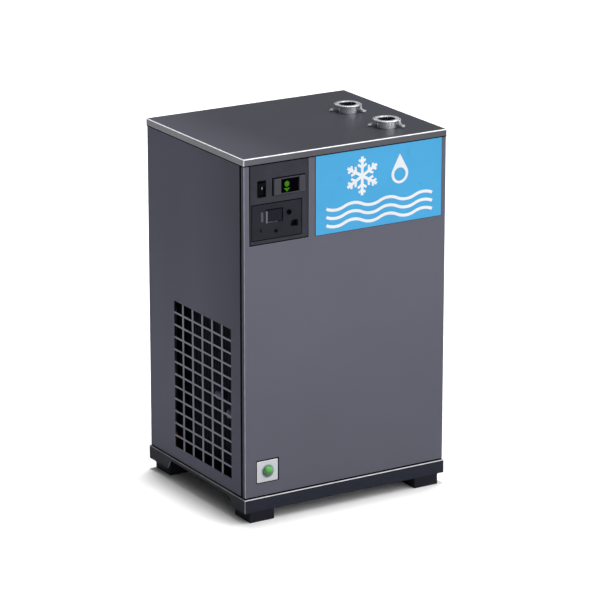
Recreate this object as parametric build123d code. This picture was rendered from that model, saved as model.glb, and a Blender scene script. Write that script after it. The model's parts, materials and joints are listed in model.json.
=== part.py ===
"""Refrigerated compressed-air dryer: a floor-standing sheet-metal cabinet with its inner circuit.

Millimetres, +Z up, +X to the right of the front face, the front faces -Y.
The origin is on the floor, under the centre of the cabinet.
"""

import math
import os

from build123d import *

# ---------------------------------------------------------------- cabinet envelope
CABINET_WIDTH = 500.0
CABINET_DEPTH = 413.0
FOOT_HEIGHT = 25.0
BASE_HEIGHT = 30.0
TOTAL_HEIGHT = 800.0
BASE_LEDGE = 3.0
BASE_SHEET = 3.0
BASE_ROUND = 2.8
PANEL_SHEET = 1.2
PANEL_CORNER = 3.0
FRONT_ROUND = 2.0
FRONT_RETURN = 10.0
SIDE_SEAM = 8.0
PANEL_LIFT = 3.0
REAR_RETURN = 14.0
PANEL_GAP = 0.3
LID_LIP = 14.3
LID_OVERHANG = 1.5
LID_SHEET = 1.2
LID_ROUND = 3.0
LID_CORNER = LID_ROUND + 0.5
LID_INNER_CORNER = LID_CORNER - LID_SHEET
POST_LEG = 22.0
POST_SHEET = 2.0

RIGHT = CABINET_WIDTH / 2
LEFT = -RIGHT
REAR = CABINET_DEPTH / 2
FRONT = -REAR
BASE_TOP = FOOT_HEIGHT + BASE_HEIGHT
LID_BOTTOM = TOTAL_HEIGHT - LID_LIP
PANEL_TOP = TOTAL_HEIGHT - LID_SHEET
WALL_TOP = PANEL_TOP - (LID_ROUND - LID_SHEET)
PANEL_LOW = BASE_TOP + PANEL_LIFT
INSIDE_X = RIGHT - PANEL_SHEET
INSIDE_Y = REAR - PANEL_SHEET

# ---------------------------------------------------------------- feet and base notches
FOOT_SIZE = (60.0, 65.0)
FOOT_INSET = (15.0, 3.0)
FOOT_BOLT_RADIUS = 4.0
FOOT_BOLT_Y = 195.0
NOTCH_TOP = BASE_TOP - 8.0
NOTCH_FRONT = (-167.5, -139.5)
NOTCH_REAR = (127.5, 113.5)

# ---------------------------------------------------------------- side grilles
GRILLE_COLUMNS = 6
GRILLE_ROWS = 12
GRILLE_OPENING = (35.8, 23.7)
GRILLE_BAR = (6.0, 4.4)
GRILLE_START = (FRONT + 57.0, BASE_TOP + 31.0)
GRILLE_FLANGE = 8.0
GRILLE_RECESS = 0.3
GRILLE_RELIEF = 1.0

# ---------------------------------------------------------------- front face features
FASCIA = ((-237.0, -93.0), (611.0, 785.0))
FASCIA_RECESS = 0.8
FASCIA_GAP = 2.0
FASCIA_SEAT = 0.4
FASCIA_GROOVE = 1.6
FASCIA_FACE = FRONT + FASCIA_RECESS
SWITCH_CENTRE = (-206.6, 731.0)
SWITCH_SIZE = (20.7, 36.0)
CONTROLLER_CENTRE = (-140.0, 731.1)
CONTROLLER_SIZE = (76.0, 35.2)
WINDOW = ((-160.3, -116.8), (716.0, 746.2))
LAMP_CENTRE = (-146.0, 734.5)
LAMP_RADIUS = 6.0
ARROW_BASE = (-153.5, -138.6, 725.5)
ARROW_APEX_Z = 717.4
TIMER = ((-229.8, -110.3), (622.1, 697.2))
TIMER_GROOVE = 2.0
TIMER_PLATE = 1.5
SCREEN = ((-196.3, -156.7), (656.3, 683.5))
LEVEL_BAR = ((-208.4, -203.0), (660.0, 681.0))
KNOB_CENTRE = (-140.4, 673.0)
KNOB_RADIUS = 5.4
RESET_CENTRE = (-172.0, 636.5)
RESET_RADIUS = 3.7
SOCKET = ((-137.6, -117.9), (639.7, 656.0))
SIGN = ((-76.3, 237.8), (611.7, 784.6))
SIGN_THICKNESS = 1.0
TEST_PLATE = ((-221.0, -170.0), (88.0, 134.7))
TEST_CENTRE = (-195.1, 111.0)
TEST_LENS_RADIUS = 12.0

# ---------------------------------------------------------------- air couplings on the lid
COUPLING_X = 151.0
COUPLING_Y = {"inlet": 32.0, "outlet": -124.0}
COUPLING_TURN = -42.0
COUPLING_TOP = TOTAL_HEIGHT + 18.0
RING_RADIUS = 28.5
RING_THICKNESS = 3.0
NECK_RADIUS = 21.0
BORE_RADIUS = 19.0
BORE_DEPTH = 14.0
GASKET_THICKNESS = 3.0
GASKET_RADIUS = 18.6
SPIGOT_RADIUS = 16.5
CAM_PIVOT = (26.0, TOTAL_HEIGHT + 11.5)
CAM_WIDTH = 8.0
CAM_PIN_RADIUS = 1.5

# ---------------------------------------------------------------- inner circuit
CONDENSER = ((-232.0, -192.0), (-178.0, 112.0), (70.0, 440.0))
FAN_CENTRE = (-33.0, 255.0)
FAN_RADIUS = 120.0
COMPRESSOR_CENTRE = (95.0, -75.0)
COMPRESSOR_RADIUS = 80.0
EXCHANGER = ((95.0, 225.0), (-150.0, 60.0), (400.0, 700.0))
SEPARATOR_CENTRE = (COUPLING_X, 125.0)
SEPARATOR_RADIUS = 38.0
PIPE_RADIUS = 5.0
DRAIN_PORT = (COUPLING_X, 120.0)
GLAND_PORT = (190.0, 120.0)

NODES = {}


def span(centre, size):
    """Low and high limit of a stretch given by its middle and its length."""
    return centre - size / 2, centre + size / 2


def block(x, y, z):
    """Box between a low and a high limit on each axis."""
    limits = (x, y, z)
    size = [high - low for low, high in limits]
    centre = [(high + low) / 2 for low, high in limits]
    return Pos(*centre) * Box(*size)


def rod(start, axis, radius, length):
    """Round rod that begins at start and runs along axis."""
    place = Plane(origin=start, z_dir=axis).location
    return place * Cylinder(radius, length, align=(Align.CENTER, Align.CENTER, Align.MIN))


def turned(outline, origin=(0, 0, 0), axis=(0, 0, 1)):
    """Turned piece: a closed outline of (radius, height) points spun about axis."""
    points = [(radius, 0, height) for radius, height in outline]
    face = make_face(Polyline(*points, close=True))
    return Plane(origin=origin, z_dir=axis).location * revolve(face, axis=Axis.Z)


def prism(points, plane, depth):
    """Flat outline on a plane, given thickness along the plane's normal."""
    return extrude(plane * make_face(Polyline(*points, close=True)), depth)


def hex_bolt(origin, axis, across_flats, head, radius, length):
    """Hexagon bolt: the head stands on origin along axis, the shank runs the other way."""
    place = Plane(origin=origin, z_dir=axis).location
    hexagon = RegularPolygon(across_flats / 2, 6, major_radius=False)
    shank = Cylinder(radius, length, align=(Align.CENTER, Align.CENTER, Align.MAX))
    return place * (extrude(hexagon, head) + shank)


def pan_screw(origin, axis, radius, head_radius, head, length):
    """Pan-head screw with a cross recess: head outside origin, shank behind it."""
    outline = [
        (0, -length),
        (radius, -length),
        (radius, 0),
        (head_radius, 0),
        (head_radius, head * 0.4),
        (head_radius * 0.72, head),
        (0, head),
    ]
    screw = turned(outline)
    recess = Box(head_radius, 0.8, 0.8) + Box(0.8, head_radius, 0.8)
    screw -= Pos(0, 0, head) * recess
    return Plane(origin=origin, z_dir=axis).location * screw


def group(*solids):
    """Several separate solids kept in one node."""
    parts = []
    for item in solids:
        parts.extend(item.solids())
    return Compound(parts)


def rounded(part, axis, radius, keep=lambda edge: True):
    """Round the straight edges that run along one axis."""
    edges = [edge for edge in part.edges().filter_by(axis) if keep(edge)]
    return fillet(edges, radius)


# ---------------------------------------------------------------- base and feet
def foot_limits(side_x, side_y):
    """Limits of one foot block, inset from the base's corner."""
    outer_x = RIGHT + BASE_LEDGE - FOOT_INSET[0]
    outer_y = REAR + BASE_LEDGE - FOOT_INSET[1]
    x = sorted((side_x * outer_x, side_x * (outer_x - FOOT_SIZE[0])))
    y = sorted((side_y * outer_y, side_y * (outer_y - FOOT_SIZE[1])))
    return tuple(x), tuple(y)


def foot_bolt_places():
    """Place of each foot's bolt, seen from above: midway in X, near the outer edge in Y."""
    places = []
    for side_x in (-1, 1):
        for side_y in (-1, 1):
            x, _ = foot_limits(side_x, side_y)
            places.append((sum(x) / 2, side_y * FOOT_BOLT_Y))
    return places


def make_base_frame():
    """Folded pan that carries the cabinet: closed front and rear aprons, notched side aprons."""
    x = span(0, CABINET_WIDTH + 2 * BASE_LEDGE)
    y = span(0, CABINET_DEPTH + 2 * BASE_LEDGE)
    pan = rounded(block(x, y, (FOOT_HEIGHT, BASE_TOP)), Axis.Z, PANEL_CORNER)
    pan = fillet(pan.faces().sort_by(Axis.Z)[-1].edges(), BASE_ROUND)
    inner_x = (x[0] + BASE_SHEET, x[1] - BASE_SHEET)
    inner_y = (y[0] + BASE_SHEET, y[1] - BASE_SHEET)
    pan -= block(inner_x, inner_y, (FOOT_HEIGHT - 1, BASE_TOP - BASE_SHEET))
    notch = [
        (NOTCH_FRONT[0], FOOT_HEIGHT - 1),
        (NOTCH_REAR[0], FOOT_HEIGHT - 1),
        (NOTCH_REAR[1], NOTCH_TOP),
        (NOTCH_FRONT[1], NOTCH_TOP),
    ]
    pan -= Pos(x[0] - 1, 0, 0) * prism(notch, Plane.YZ, x[1] - x[0] + 2)
    for place in foot_bolt_places():
        pan -= rod((*place, BASE_TOP - 5), (0, 0, 1), FOOT_BOLT_RADIUS + 0.2, 10)
    return pan


def make_foot(side_x, side_y):
    """Solid rubber block that stands under the pan, with the bolt's blind hole."""
    x, y = foot_limits(side_x, side_y)
    foot = rounded(block(x, y, (0, BASE_TOP - BASE_SHEET)), Axis.Z, 2.0)
    foot = fillet(foot.faces().sort_by(Axis.Z)[0].edges(), 1.5)
    top = BASE_TOP - BASE_SHEET
    bolt_place = (sum(x) / 2, side_y * FOOT_BOLT_Y, top)
    hole = rod(bolt_place, (0, 0, -1), FOOT_BOLT_RADIUS + 0.2, 26)
    return foot - hole


def make_foot_bolts():
    """One bolt through the pan into each foot."""
    bolts = [
        hex_bolt((*place, BASE_TOP), (0, 0, 1), 13.0, 5.3, FOOT_BOLT_RADIUS, 27.0)
        for place in foot_bolt_places()
    ]
    return group(*bolts)


# ---------------------------------------------------------------- frame, panels, lid
REAR_SCREW_Z = (90.0, 420.0, 760.0)
SIDE_SCREW_X = RIGHT - 8.0
REAR_SCREW_X = RIGHT - 25.0
LID_SCREW_Z = TOTAL_HEIGHT - 7.5
LID_SCREW_REAR_X = (-200.0, 0.0, 200.0)
LID_SCREW_SIDE_Y = (-189.0, 194.0)


def rear_screw_points():
    """Screws along the cabinet's two rear corners: side panel edge and rear panel edge."""
    return [
        (side * x, z)
        for side in (-1, 1)
        for x in (SIDE_SCREW_X, REAR_SCREW_X)
        for z in REAR_SCREW_Z
    ]


def rear_screw_holes(radius):
    """Clearance holes for the rear screws."""
    return [rod((x, REAR - 10, z), (0, 1, 0), radius, 20) for x, z in rear_screw_points()]


def lid_side_screw_holes(radius):
    """Clearance holes for the lid screws on the right-hand side."""
    start = RIGHT - 6
    return [rod((start, y, LID_SCREW_Z), (1, 0, 0), radius, 12) for y in LID_SCREW_SIDE_Y]


def lid_rear_screw_holes(radius):
    """Clearance holes for the lid screws along the rear."""
    return [rod((x, REAR - 6, LID_SCREW_Z), (0, 1, 0), radius, 12) for x in LID_SCREW_REAR_X]


def drilled(part, holes):
    """Part with a list of holes cut through it."""
    for hole in holes:
        part -= hole
    return part


def make_corner_posts():
    """Four folded posts: each lies on a side panel and turns inwards."""
    posts = []
    for side in (-1, 1):
        outer = side * INSIDE_X
        wall = tuple(sorted((outer, outer - side * POST_SHEET)))
        front_leg = tuple(sorted((outer, outer - side * POST_LEG)))
        rear_leg = tuple(sorted((outer, outer - side * 1.5 * POST_LEG)))
        height = (BASE_TOP, WALL_TOP)
        front_y = -INSIDE_Y + POST_LEG
        front = block(wall, (-INSIDE_Y, front_y), height)
        front += block(front_leg, (front_y - POST_SHEET, front_y), height)
        rear = block(wall, (INSIDE_Y - POST_LEG, INSIDE_Y), height)
        rear += block(rear_leg, (INSIDE_Y - POST_SHEET, INSIDE_Y), height)
        posts += [front, rear]
    holes = rear_screw_holes(2.1) + lid_side_screw_holes(1.9) + lid_rear_screw_holes(1.9)
    return group(*[drilled(post, holes) for post in posts])


def make_front_panel():
    """Front tray: the face with narrow returns round both front corners."""
    back = FRONT + FRONT_RETURN
    outer = block((LEFT, RIGHT), (FRONT, back), (PANEL_LOW, WALL_TOP))
    outer = rounded(outer, Axis.Z, FRONT_ROUND, lambda edge: edge.center().Y < FRONT + 1)
    panel = outer - block((-INSIDE_X, INSIDE_X), (-INSIDE_Y, back + 1), (0, TOTAL_HEIGHT))
    panel -= block(FASCIA[0], (FRONT - 1, back), FASCIA[1])
    panel -= rod((TEST_CENTRE[0], FRONT - 1, TEST_CENTRE[1]), (0, 1, 0), 13.4, 4)
    return panel


def grille_cut():
    """Rectangle of a side panel that the grille's openings fill."""
    width = GRILLE_COLUMNS * GRILLE_OPENING[0] + (GRILLE_COLUMNS - 1) * GRILLE_BAR[0]
    height = GRILLE_ROWS * GRILLE_OPENING[1] + (GRILLE_ROWS - 1) * GRILLE_BAR[1]
    y = (GRILLE_START[0], GRILLE_START[0] + width)
    z = (GRILLE_START[1], GRILLE_START[1] + height)
    return y, z


def make_side_panel(side):
    """Side panel with a rear return, and a cut-out for its grille."""
    front = FRONT + FRONT_RETURN + SIDE_SEAM
    x_outer = tuple(sorted((side * RIGHT, side * (RIGHT - REAR_RETURN))))
    outer = block(x_outer, (front, REAR), (PANEL_LOW, WALL_TOP))
    outer = rounded(
        outer,
        Axis.Z,
        PANEL_CORNER,
        lambda edge: edge.center().Y > REAR - 1 and abs(edge.center().X) > RIGHT - 1,
    )
    x_inner = tuple(sorted((side * INSIDE_X, 0)))
    panel = outer - block(x_inner, (front - 1, INSIDE_Y), (0, TOTAL_HEIGHT))
    y, z = grille_cut()
    panel -= block(tuple(sorted((0, side * (RIGHT + 1)))), y, z)
    panel = drilled(panel, rear_screw_holes(2.1))
    if side > 0:
        panel = drilled(panel, lid_side_screw_holes(1.9))
    return panel


def make_grille(side):
    """Grid of bars across the cut-out, with narrower ribs and a flange behind the panel."""
    y, z = grille_cut()
    flange_x = tuple(sorted((side * INSIDE_X, side * (INSIDE_X - PANEL_SHEET))))
    bars_x = tuple(sorted((side * (RIGHT - GRILLE_RECESS), side * INSIDE_X)))
    grille = block(
        flange_x,
        (y[0] - GRILLE_FLANGE, y[1] + GRILLE_FLANGE),
        (z[0] - GRILLE_FLANGE, z[1] + GRILLE_FLANGE),
    )
    front = block(bars_x, y, z)
    front_cuts = []
    back_cuts = []
    for column in range(GRILLE_COLUMNS):
        low_y = y[0] + column * (GRILLE_OPENING[0] + GRILLE_BAR[0])
        for row in range(GRILLE_ROWS):
            low_z = z[0] + row * (GRILLE_OPENING[1] + GRILLE_BAR[1])
            high_y = low_y + GRILLE_OPENING[0]
            high_z = low_z + GRILLE_OPENING[1]
            front_cuts.append(block(bars_x, (low_y, high_y), (low_z, high_z)))
            wide_y = (low_y - GRILLE_RELIEF, high_y + GRILLE_RELIEF)
            wide_z = (low_z - GRILLE_RELIEF, high_z + GRILLE_RELIEF)
            back_cuts.append(block(flange_x, wide_y, wide_z))
    return (grille - back_cuts) + (front - front_cuts)


LOUVRE_SIZE = (110.0, 6.0)
LOUVRE_X = (-110.0, 60.0)
LOUVRE_Z = [300.0 + 20.0 * row for row in range(9)]


def make_rear_panel():
    """Flat rear panel with louvre slots, between the two side panels' returns."""
    half = RIGHT - REAR_RETURN - PANEL_GAP
    panel = block((-half, half), (INSIDE_Y, REAR), (PANEL_LOW, WALL_TOP))
    slots = [
        block(span(x, LOUVRE_SIZE[0]), (INSIDE_Y - 1, REAR + 1), span(z, LOUVRE_SIZE[1]))
        for x in LOUVRE_X
        for z in LOUVRE_Z
    ]
    holes = rear_screw_holes(2.1) + lid_rear_screw_holes(1.9)
    for port in (DRAIN_PORT, GLAND_PORT):
        holes.append(rod((port[0], REAR - 10, port[1]), (0, 1, 0), 8.2, 20))
    return drilled(panel, slots + holes)


def make_panel_screws():
    """Screws that hold both side panels and the rear panel to the rear posts."""
    screws = [
        pan_screw((x, REAR, z), (0, 1, 0), 2.0, 4.5, 2.4, 8.0)
        for x, z in rear_screw_points()
    ]
    return group(*screws)


def make_top_cover():
    """Lid: a shallow tray turned over, with rounded edges and the two coupling holes."""
    x = span(0, CABINET_WIDTH + 2 * LID_OVERHANG)
    y = span(0, CABINET_DEPTH + 2 * LID_OVERHANG)
    lid = rounded(block(x, y, (LID_BOTTOM, TOTAL_HEIGHT)), Axis.Z, LID_CORNER)
    lid = fillet(lid.faces().sort_by(Axis.Z)[-1].edges(), LID_ROUND)
    inner_x = (x[0] + LID_SHEET, x[1] - LID_SHEET)
    inner_y = (y[0] + LID_SHEET, y[1] - LID_SHEET)
    cavity = block(inner_x, inner_y, (LID_BOTTOM - LID_LIP, PANEL_TOP))
    cavity = rounded(cavity, Axis.Z, LID_INNER_CORNER)
    lid -= fillet(cavity.faces().sort_by(Axis.Z)[-1].edges(), LID_ROUND - LID_SHEET)
    for y_centre in COUPLING_Y.values():
        lid -= rod((COUPLING_X, y_centre, PANEL_TOP - 5), (0, 0, 1), SPIGOT_RADIUS + 0.4, 20)
    return drilled(lid, lid_side_screw_holes(1.9) + lid_rear_screw_holes(1.9))


def make_lid_screws():
    """Screws through the lid's lip, two on the right and three at the rear."""
    side_x = RIGHT + LID_OVERHANG
    rear_y = REAR + LID_OVERHANG
    side = [
        pan_screw((side_x, y, LID_SCREW_Z), (1, 0, 0), 1.8, 3.8, 1.4, 6.0)
        for y in LID_SCREW_SIDE_Y
    ]
    rear = [
        pan_screw((x, rear_y, LID_SCREW_Z), (0, 1, 0), 1.8, 3.8, 1.4, 6.0)
        for x in LID_SCREW_REAR_X
    ]
    return group(*side, *rear)


# ---------------------------------------------------------------- control fascia
SWITCH_BODY = (18.0, 33.0)
CONTROLLER_BODY = (70.0, 29.0)
TIMER_BODY = ((-222.0, -118.0), (628.0, 691.0))
FASCIA_FLANGE = ((-244.0, -86.0), (604.0, 790.0))
FASCIA_BACK = FRONT + 3.5


def make_control_fascia():
    """Dark moulded plate behind the front panel's opening, holding switch, controller and timer."""
    fascia = block(FASCIA_FLANGE[0], (-INSIDE_Y, FASCIA_BACK), FASCIA_FLANGE[1])
    boss_x = (FASCIA[0][0] + FASCIA_GAP, FASCIA[0][1] - FASCIA_SEAT)
    boss_z = (FASCIA[1][0] + FASCIA_SEAT, FASCIA[1][1] - FASCIA_GAP)
    groove = (-INSIDE_Y - 1, -INSIDE_Y + FASCIA_GROOVE)
    fascia -= block(FASCIA[0], groove, FASCIA[1]) - block(boss_x, groove, boss_z)
    fascia += block(boss_x, (FASCIA_FACE, -INSIDE_Y), boss_z)
    through = (FASCIA_FACE - 1, FASCIA_BACK + 1)
    for centre, size in ((SWITCH_CENTRE, SWITCH_BODY), (CONTROLLER_CENTRE, CONTROLLER_BODY)):
        x = span(centre[0], size[0] + 0.4)
        z = span(centre[1], size[1] + 0.4)
        fascia -= block(x, through, z)
    well_x = (TIMER[0][0] - TIMER_GROOVE, TIMER[0][1] + TIMER_GROOVE)
    well_z = (TIMER[1][0] - TIMER_GROOVE, TIMER[1][1] + TIMER_GROOVE)
    fascia -= block(well_x, (FASCIA_FACE - 1, FASCIA_FACE + TIMER_PLATE), well_z)
    body_x = (TIMER_BODY[0][0] - 0.2, TIMER_BODY[0][1] + 0.2)
    body_z = (TIMER_BODY[1][0] - 0.2, TIMER_BODY[1][1] + 0.2)
    return fascia - block(body_x, through, body_z)


SWITCH_FACE = FASCIA_FACE - 0.9
ROCKER_HALF = (7.45, 14.9)
ROCKER_PIVOT_Y = SWITCH_FACE + 5.2
ROCKER_TILT = 9.0
SWITCH_WELL_HALF = (7.75, 15.3)


def make_switch_bezel():
    """Rocker switch housing: a thin rim on the fascia and a deep open body."""
    x_centre, z_centre = SWITCH_CENTRE
    rim = block(
        span(x_centre, SWITCH_SIZE[0]),
        (SWITCH_FACE, FASCIA_FACE),
        span(z_centre, SWITCH_SIZE[1]),
    )
    rim = rounded(rim, Axis.Y, 0.8)
    body = block(
        span(x_centre, SWITCH_BODY[0]),
        (FASCIA_FACE, FASCIA_FACE + 26),
        span(z_centre, SWITCH_BODY[1]),
    )
    well = block(
        span(x_centre, 2 * SWITCH_WELL_HALF[0]),
        (SWITCH_FACE - 1, FASCIA_FACE + 20),
        span(z_centre, 2 * SWITCH_WELL_HALF[1]),
    )
    bezel = rim + body - well
    journal = rod((x_centre - 8.6, ROCKER_PIVOT_Y, z_centre), (1, 0, 0), 1.56, 17.2)
    return bezel - journal


def make_switch_rocker():
    """Rocker with a shallow V face on two stub axles, resting with its lower half pressed in."""
    half_x, half_z = ROCKER_HALF
    lip = math.sqrt(half_z**2 - 14.2**2)
    profile = [
        (-lip, 14.2),
        (-2.4, 1.2),
        (-2.4, -1.2),
        (-lip, -14.2),
        (2.0, -13.4),
        (9.0, -5.0),
        (9.0, 5.0),
        (2.0, 13.4),
    ]
    body = Pos(-half_x, 0, 0) * prism(profile, Plane.YZ, 2 * half_x)
    body += rod((-8.4, 0, 0), (1, 0, 0), 1.5, 16.8)
    place = Pos(SWITCH_CENTRE[0], ROCKER_PIVOT_Y, SWITCH_CENTRE[1])
    return place * (Rot(ROCKER_TILT, 0, 0) * body)


CONTROLLER_FACE = FASCIA_FACE - 1.6
CONTROLLER_PAD_FACE = FASCIA_FACE - 3.0
WINDOW_FACE = FASCIA_FACE - 0.8


def make_controller_housing():
    """Electronic controller: a slim frame with two raised end pads and a long body behind."""
    x = span(CONTROLLER_CENTRE[0], CONTROLLER_SIZE[0])
    z = span(CONTROLLER_CENTRE[1], CONTROLLER_SIZE[1])
    frame = rounded(block(x, (CONTROLLER_FACE, FASCIA_FACE), z), Axis.Y, 1.5)
    for pad_x in ((x[0] + 1.0, WINDOW[0][0] - 1.2), (WINDOW[0][1] + 1.2, x[1] - 1.0)):
        pad = block(pad_x, (CONTROLLER_PAD_FACE, CONTROLLER_FACE), (z[0] + 1.0, z[1] - 1.0))
        pad = fillet(pad.faces().sort_by(Axis.Y)[0].edges(), 1.2)
        frame += pad
    body_x = span(CONTROLLER_CENTRE[0], CONTROLLER_BODY[0])
    body_z = span(CONTROLLER_CENTRE[1], CONTROLLER_BODY[1])
    frame += block(body_x, (FASCIA_FACE, FASCIA_FACE + 55), body_z)
    return frame - block(WINDOW[0], (CONTROLLER_PAD_FACE - 1, FASCIA_FACE), WINDOW[1])


def make_controller_window():
    """Black window set into the controller's frame."""
    x = (WINDOW[0][0] + 0.1, WINDOW[0][1] - 0.1)
    z = (WINDOW[1][0] + 0.1, WINDOW[1][1] - 0.1)
    return block(x, (WINDOW_FACE, FASCIA_FACE), z)


def make_controller_lamps():
    """Green round lamp and the arrow head under it, on the window."""
    lamp = rod((LAMP_CENTRE[0], WINDOW_FACE, LAMP_CENTRE[1]), (0, -1, 0), LAMP_RADIUS, 0.5)
    left, right, top = ARROW_BASE
    outline = [(left, top), ((left + right) / 2, ARROW_APEX_Z), (right, top)]
    arrow = prism(outline, Plane.XZ.offset(-WINDOW_FACE), 0.5)
    return group(lamp, arrow)


TIMER_FACE = FASCIA_FACE


def make_timer_module():
    """Drain timer: face plate set in the fascia, with pockets for its screen, knob and button."""
    plate = block(TIMER[0], (TIMER_FACE, TIMER_FACE + TIMER_PLATE), TIMER[1])
    plate = rounded(plate, Axis.Y, 1.0)
    plate += block(TIMER_BODY[0], (TIMER_FACE + TIMER_PLATE, TIMER_FACE + 38), TIMER_BODY[1])
    pocket = block(SCREEN[0], (TIMER_FACE - 1, TIMER_FACE + 1.2), SCREEN[1])
    lower_left = (SCREEN[0][0] + 1, SCREEN[1][0] + 1)
    pocket = rounded(
        pocket,
        Axis.Y,
        6.0,
        lambda edge: edge.center().X < lower_left[0] and edge.center().Z < lower_left[1],
    )
    plate -= pocket
    socket_pocket = chamfered_block(SOCKET, (TIMER_FACE - 1, TIMER_FACE + 16), 0.1)
    plate -= socket_pocket
    plate -= rod((KNOB_CENTRE[0], TIMER_FACE - 1, KNOB_CENTRE[1]), (0, 1, 0), 2.06, 10)
    plate -= rod((RESET_CENTRE[0], TIMER_FACE - 1, RESET_CENTRE[1]), (0, 1, 0), 4.0, 9)
    chevron = [(-206.5, 646.2), (-211.5, 641.7), (-206.5, 637.2), (-207.8, 641.7)]
    return plate - prism(chevron, Plane.XZ.offset(-TIMER_FACE - 0.6), 1.2)


def chamfered_block(limits, y, grow):
    """Block with its two left corners cut off, as on a keyed socket."""
    (x_low, x_high), (z_low, z_high) = limits
    x_low, x_high = x_low - grow, x_high + grow
    z_low, z_high = z_low - grow, z_high + grow
    cut = 5.0
    outline = [
        (x_low, z_low + cut * 0.5),
        (x_low + cut * 0.5, z_low),
        (x_high, z_low),
        (x_high, z_high),
        (x_low + cut, z_high),
        (x_low, z_high - cut),
    ]
    depth = y[1] - y[0]
    return prism(outline, Plane.XZ.offset(-y[1]), depth)


def make_timer_screen():
    """Recessed screen of the drain timer."""
    x = (SCREEN[0][0] + 0.1, SCREEN[0][1] - 0.1)
    z = (SCREEN[1][0] + 0.1, SCREEN[1][1] - 0.1)
    screen = block(x, (TIMER_FACE + 0.6, TIMER_FACE + 1.2), z)
    return rounded(
        screen,
        Axis.Y,
        6.0,
        lambda edge: edge.center().X < x[0] + 1 and edge.center().Z < z[0] + 1,
    )


def make_timer_level_bar():
    """Narrow upright light bar beside the screen."""
    bar = block(LEVEL_BAR[0], (TIMER_FACE - 0.6, TIMER_FACE), LEVEL_BAR[1])
    return rounded(bar, Axis.Y, 1.0)


def make_timer_knob():
    """Small setting knob with a slot, on a spindle in the timer's face."""
    outline = [(0, -5.5), (0, 9.0), (2.0, 9.0), (2.0, -0.3)]
    outline += [(KNOB_RADIUS, -0.3), (KNOB_RADIUS, -2.2), (KNOB_RADIUS - 0.9, -3.2)]
    outline += [(2.6, -3.2), (2.6, -5.5)]
    knob = turned(outline, (KNOB_CENTRE[0], TIMER_FACE, KNOB_CENTRE[1]), (0, 1, 0))
    slot = block(
        span(KNOB_CENTRE[0], 0.9),
        (TIMER_FACE - 6.5, TIMER_FACE - 4.4),
        span(KNOB_CENTRE[1], 8),
    )
    return knob - slot


def make_reset_button():
    """Round push button of the drain timer."""
    outline = [(0, -1.8), (RESET_RADIUS - 0.5, -1.8), (RESET_RADIUS, -1.3)]
    outline += [(RESET_RADIUS, 4.0), (0, 4.0)]
    return turned(outline, (RESET_CENTRE[0], TIMER_FACE, RESET_CENTRE[1]), (0, 1, 0))


def make_alarm_socket():
    """Keyed low-voltage alarm socket: a thin-walled cup with two contact blades."""
    cup = chamfered_block(SOCKET, (TIMER_FACE - 0.3, TIMER_FACE + 16), 0)
    cavity = chamfered_block(SOCKET, (TIMER_FACE - 1, TIMER_FACE + 14), -1.2)
    cup -= cavity
    x_middle = sum(SOCKET[0]) / 2 + 1
    z_middle = sum(SOCKET[1]) / 2
    for side in (-1, 1):
        x = span(x_middle + side * 4.0, 0.8)
        cup += block(x, (TIMER_FACE + 9, TIMER_FACE + 14.5), span(z_middle, 4.0))
    return cup


def make_control_box():
    """Sheet-metal box that screens the electrical parts behind the fascia."""
    x, y, z = (-224.0, -88.0), (FASCIA_BACK, -132.0), (606.0, 784.0)
    box = rounded(block(x, y, z), Axis.Y, 2.0)
    wall = 1.2
    cavity = block(
        (x[0] + wall, x[1] - wall),
        (y[0] - 1, y[1] - wall),
        (z[0] + wall, z[1] - wall),
    )
    return box - cavity


# ---------------------------------------------------------------- sign and test button
SNOWFLAKE_CENTRE = (38.0, 726.0)
SNOWFLAKE_RADIUS = 42.0
DROP_CENTRE = (132.0, 718.0)
DROP_RADIUS = 21.0
STROKE = 6.5
WAVE_SPAN = (-50.0, 214.0)
WAVE_Z = (630.0, 648.0, 666.0)
WAVE_COUNT = 6
EMBLEM_THICKNESS = 0.4


def make_sign_plate():
    """Thin coloured plate on the front panel."""
    plate = block(SIGN[0], (FRONT - SIGN_THICKNESS, FRONT), SIGN[1])
    return rounded(plate, Axis.Y, 1.0)


def snowflake():
    """Six arms, each with two pairs of twigs."""
    arm = Rectangle(STROKE, SNOWFLAKE_RADIUS, align=(Align.CENTER, Align.MIN))
    for distance, length in ((18.0, 13.0), (30.0, 10.0)):
        for side in (-1, 1):
            twig = Rectangle(STROKE * 0.8, length, align=(Align.CENTER, Align.MIN))
            arm += Pos(0, distance) * Rot(0, 0, side * 55) * twig
    flake = arm
    for turn in range(1, 6):
        flake += Rot(0, 0, turn * 60) * arm
    return Pos(*SNOWFLAKE_CENTRE) * flake


def water_drop():
    """Drop outline: a round bottom that runs up to a point."""
    x, z = DROP_CENTRE
    touch = math.radians(28)
    left = (x - DROP_RADIUS * math.cos(touch), z + DROP_RADIUS * math.sin(touch))
    right = (x + DROP_RADIUS * math.cos(touch), z + DROP_RADIUS * math.sin(touch))
    apex = (x, z + DROP_RADIUS * 2.1)
    outline = [
        ThreePointArc(left, (x, z - DROP_RADIUS), right),
        Line(right, apex),
        Line(apex, left),
    ]
    drop = make_face(Curve() + outline)
    inner = Pos(x, z - 1) * Circle(DROP_RADIUS - STROKE)
    return drop - inner


def air_wave(z):
    """One wavy line made of equal arcs."""
    step = (WAVE_SPAN[1] - WAVE_SPAN[0]) / WAVE_COUNT
    arcs = []
    for index in range(WAVE_COUNT):
        start = (WAVE_SPAN[0] + index * step, z)
        end = (start[0] + step, z)
        arcs.append(SagittaArc(start, end, 5.0 if index % 2 else -5.0))
    return trace(Curve() + arcs, STROKE)


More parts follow.
